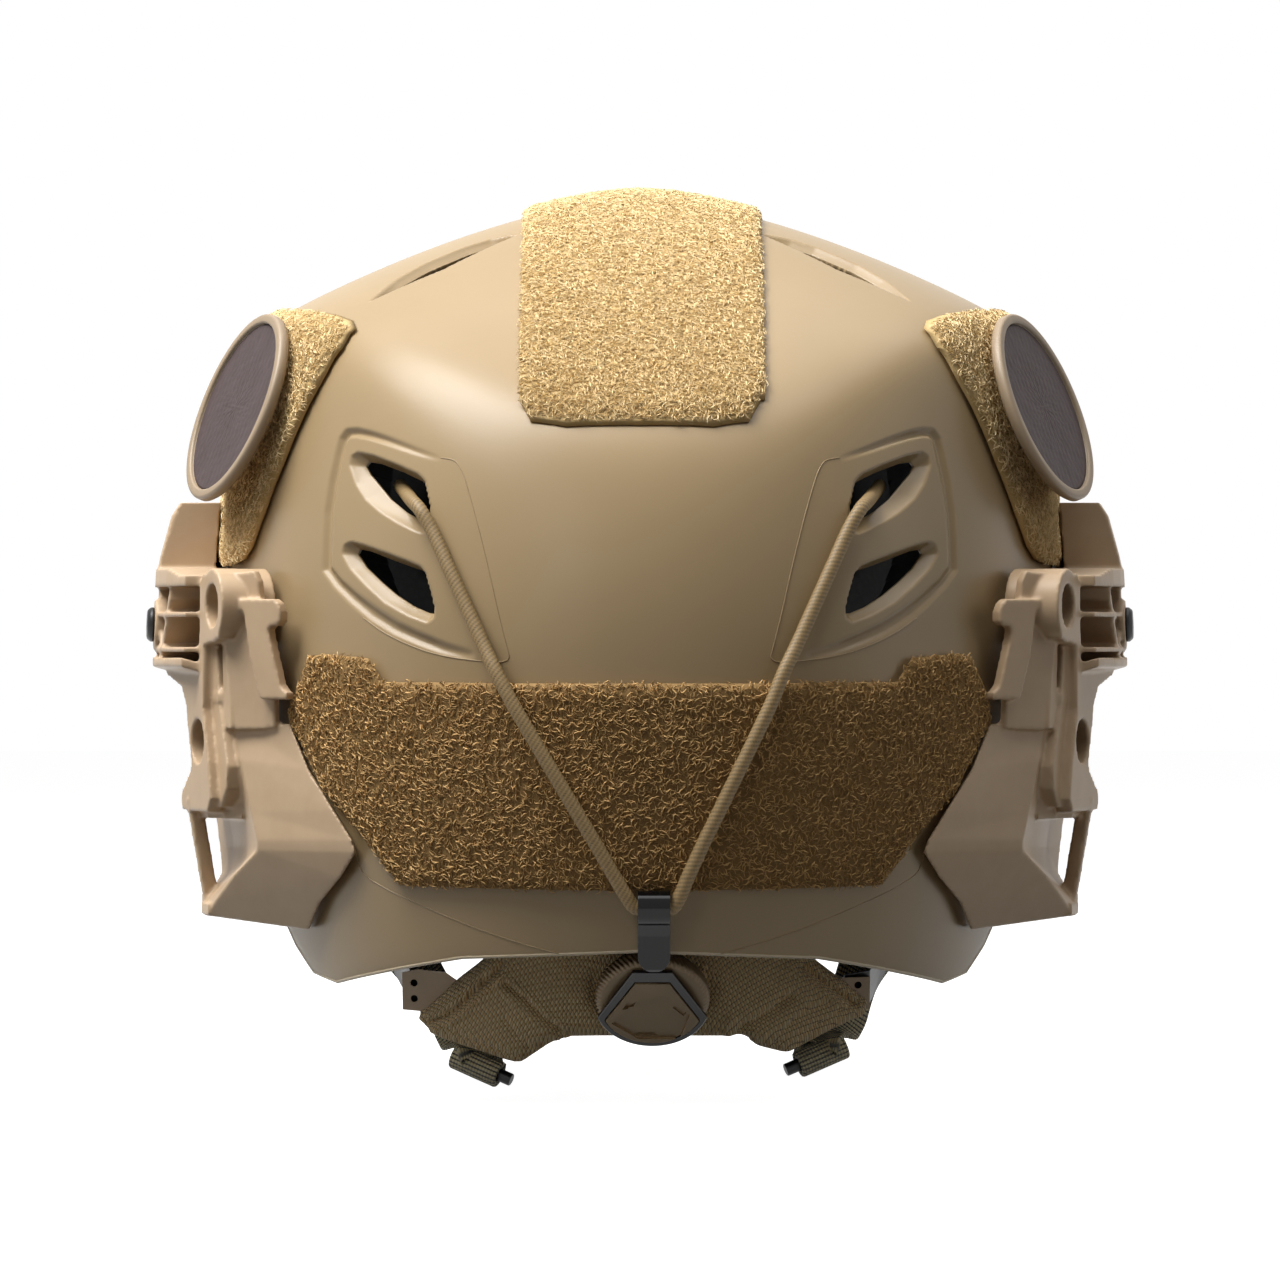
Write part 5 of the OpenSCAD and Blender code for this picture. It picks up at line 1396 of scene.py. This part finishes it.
def sewn(name, flat, pitch, scale, proud, seed):
    """Stitches along a line in the pad's plane."""
    line, _ = smooth_line(np.array([on_pad(x, z, proud) for x, z in flat]), 0.5)
    edges = [(i, i + 1) for i in range(len(line) - 1)]
    made = placed(name, mesh_of(name, line, [], edges))
    laid = made.modifiers.new("stitches", "NODES")
    laid.node_group = lay_stitches
    set_inputs(laid, {
        "Copied": thread, "Pitch": pitch * MM, "Stitch scale": scale, "Seed": seed,
        "Finish": thread_tan,
    })
    settle(plain_mesh(made), thread_tan, body_of("nape_pad"))


left_seam = [(-33.6, -44.6), (-38.2, -49.2), (-43.0, -53.8), (-46.8, -56.8)]
sewn("nape_stitches_left", left_seam, 1.3, 1.3, 0.6, 1)
sewn("nape_stitches_right", [(41.2, -45.6), (44.6, -48.4), (50.6, -52.6)], 1.3, 1.0, 0.4, 2)
for i, (x, tall) in enumerate(((-18.2, 4.4), (16.0, 4.6), (18.2, 4.2))):
    chain = [(x, -41.6), (x - 0.4, -43.5), (x + 0.2, -41.6 - tall)]
    sewn("nape_chain_" + "abc"[i], chain, 0.8, 0.9, 0.5, 3 + i)
bpy.data.objects.remove(thread)
print("stitches done")

# %% [markdown]
# Webbing is a flat woven tape with a rib across it about every millimetre. The two rear
# straps are drawn as ribbons along their own routes, so that their UV maps run along the tape
# in mm and the ribs stay square to it round the pin. The other straps keep their CAD shape,
# with a UV map laid flat on them.

# %% Straps
STRAP_T, LOOP_W = 1.4, 13.0
STRAP_X = HALF_W - 21
PIN_R, PIN_GAP, PIN_SLANT, PIN_INSET = 1.6, 0.4, 22, 8


def tape(name, path, width, thick, material, body, node):
    """A flat tape along [centre, direction of its width], with soft edges and a UV map in mm."""
    centre = np.array([p for p, _ in path], float)
    across = unit(np.array([w for _, w in path], float))
    along = lengths_along(centre)
    line, even = smooth_line(centre, 0.8)
    there = even * along[-1] / even[-1]
    across = np.stack([np.interp(there, along, across[:, k]) for k in range(3)], -1)
    heading = unit(np.gradient(line, axis=0))
    across = unit(across - heading * (across * heading).sum(1)[:, None])
    out = np.cross(heading, across)
    w, t = width / 2, thick / 2
    half = [(-w, 0), (-w + 0.12, t * 0.75), (-w + 0.5, t), (0, t)]
    half += [(-a, b) for a, b in half[-2::-1]]
    section = half + [(a, -b) for a, b in half[-2:0:-1]]
    n, m = len(line), len(section)
    points = [line[i] + a * across[i] + b * out[i] for i in range(n) for a, b in section]
    faces = ring_faces(n, m) + [tuple(range(m))[::-1], tuple(range((n - 1) * m, n * m))]
    made = piece(name, points, faces, material, body, node)
    places = np.array([(a, even[i]) for i in range(n) for a, _ in section])
    lay_uv(made, places[[l.vertex_index for l in made.data.loops]])


def looped_tape(node, pin):
    """The rear strap: folded round its pin under the pad, then up inside the shell."""
    x, z, w = abs(pin[0]), pin[1], math.radians(abs(pin[2]))
    y = float(on_pad(pin[0], z, 0)[1]) + PIN_INSET
    fold = PIN_R + PIN_GAP + STRAP_T / 2
    slant = Matrix.Rotation(w, 4, "Z") @ Matrix.Rotation(math.radians(-PIN_SLANT), 4, "Y")
    turn = Matrix.Translation((x, y, z)) @ slant
    path = []
    for angle in range(90, -271, -24):
        a = math.radians(angle)
        spot = turn @ Vector((0, -fold * math.cos(a), fold * math.sin(a)))
        path.append((tuple(spot), tuple(slant @ Vector((1, 0, 0)))))
    path += [
        ((x + 2.2, y + 4.6, z + 5.4), (math.cos(w), math.sin(w), 0.5)),
        ((x + 6.4, y + 7.6, z + 11), (0.9, 0.5, 0.6)),
        ((STRAP_X - 30, -66, -43), (0.8, 0.6, 0.6)),
        ((STRAP_X - 20, -53, -28), (0.5, 0.4, 0.8)),
        ((STRAP_X - 9.5, -40, -13), (0.25, -0.2, 1)),
        ((STRAP_X - 1.4, -34, -3), (0, -0.2, 1)),
        ((STRAP_X, -27, 0), (0, 0, 1)), ((STRAP_X, -9, 0), (0, 0, 1)),
    ]
    flip = np.array([math.copysign(1, pin[0]), 1, 1])
    path = [(np.array(p) * flip, np.array(q) * flip) for p, q in path]
    tape(node + "_webbing", path, LOOP_W, STRAP_T, webbing, body_of(node), node)


# Each pin's x and z in mm and its slant in degrees
looped_tape("rear_strap_left", (-40.4, -68, 18))
looped_tape("rear_strap_right", (45, -65.6, -14))


def flat_uv(made, across, along):
    """A UV map laid flat from one direction, for tape that hardly turns."""
    co = corners(made)
    lay_uv(made, np.stack([co @ np.array(across), co @ np.array(along)], -1))


for node_name in ("front_strap_left", "front_strap_right", "chin_strap_left"):
    flat_uv(eased(node_name, webbing, 0.3), (0, 0.2, 1), (0.6, 0.8, 0))
made = copy_of("chin_strap_right", "chin_strap_right_webbing")
settle(made, webbing, None, "chin_strap_right")
flat_uv(made, (0, 0, 1), (0.7, 0.7, 0))
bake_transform(made)
print("straps done")

# %% [markdown]
# The helmet hangs in white space in the photograph, so the floor here is pale and lies
# just under the lowest point. Soft boxes above, at both sides and behind give the bright
# roof and the darker middle of the wall. Their strengths were fitted to the photograph.

# %% Stage and light


def white_to_the_eye(tree):
    """1 for the rays that see the background directly, in a mirror or through glass."""
    path = add(tree, "ShaderNodeLightPath")
    direct = maths(tree, "MAXIMUM", (path, "Is Camera Ray"), (path, "Is Glossy Ray"))
    return maths(tree, "MAXIMUM", direct, (path, "Is Transmission Ray"))


def two_faced(owner, kind, bounced, seen):
    """Fills a node tree: one output for the light that bounces and one for the eye."""
    tree = owner.node_tree
    inputs = {0: white_to_the_eye(tree), 1: bounced, 2: seen}
    mix = add(tree, "ShaderNodeMixShader", inputs=inputs)
    add(tree, "ShaderNodeOutput" + kind, inputs={"Surface": (mix, "Shader")})


# Paper floor: a mid grey to the light that bounces, near white to the eye, shadow kept
pale = bpy.data.materials.new("matt_paper_floor")
tree = emptied(pale)
bounced = add(tree, "ShaderNodeBsdfDiffuse", inputs={"Color": linear("#3a3a39")})
paper = add(tree, "ShaderNodeBsdfDiffuse", inputs={"Color": linear("#bcbcba")})
glow = add(tree, "ShaderNodeEmission", inputs={"Color": (1, 1, 1, 1), "Strength": 0.97})
seen = add(tree, "ShaderNodeAddShader", inputs={0: (paper, "BSDF"), 1: (glow, "Emission")})
two_faced(pale, "Material", (bounced, "BSDF"), (seen, "Shader"))

FLOOR_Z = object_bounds()[0].z - 0.004
corners_mm = [(x / MM, y / MM, FLOOR_Z / MM) for x, y in ((-4, -3), (4, -3), (4, 6), (-4, 6))]
floor = placed("floor", mesh_of("floor", corners_mm, [(0, 1, 2, 3)]))
floor.data.materials.append(pale)

world = bpy.data.worlds.new("white_room")
tree = emptied(world)
room, white = (
    add(tree, "ShaderNodeBackground", inputs={"Color": (1, 1, 1, 1), "Strength": strength})
    for strength in (0.03, 1.0)
)
two_faced(world, "World", (room, "Background"), (white, "Background"))
scene.world = world


def softbox(name, place, aim, size, watts):
    data = bpy.data.lights.new(name, "AREA")
    data.shape = "RECTANGLE"
    data.size, data.size_y = size
    data.energy = watts
    lamp = placed(name, data)
    lamp.location = place
    lamp.rotation_euler = (Vector(aim) - Vector(place)).to_track_quat("-Z", "Y").to_euler()


softbox("top_box", (0, 0.1, 1.2), (0, -0.02, 0.05), (1.4, 1.2), 10)
softbox("top_rear_box", (0, -0.42, 1.25), (0, -0.1, 0.05), (1.4, 0.5), 5)
softbox("top_left_box", (-0.6, -0.25, 1.1), (0, 0, 0.05), (0.7, 0.7), 27)
softbox("left_box", (-1.2, -0.25, 0.35), (0, 0, 0.04), (0.6, 1.0), 1.5)
softbox("right_box", (1.2, -0.25, 0.35), (0, 0, 0.04), (0.6, 1.0), 2)
softbox("rear_strip", (-0.7, -1.65, 0.88), (0, -0.1, 0.05), (0.3, 0.6), 2.5)
print("floor height:", round(FLOOR_Z, 4))
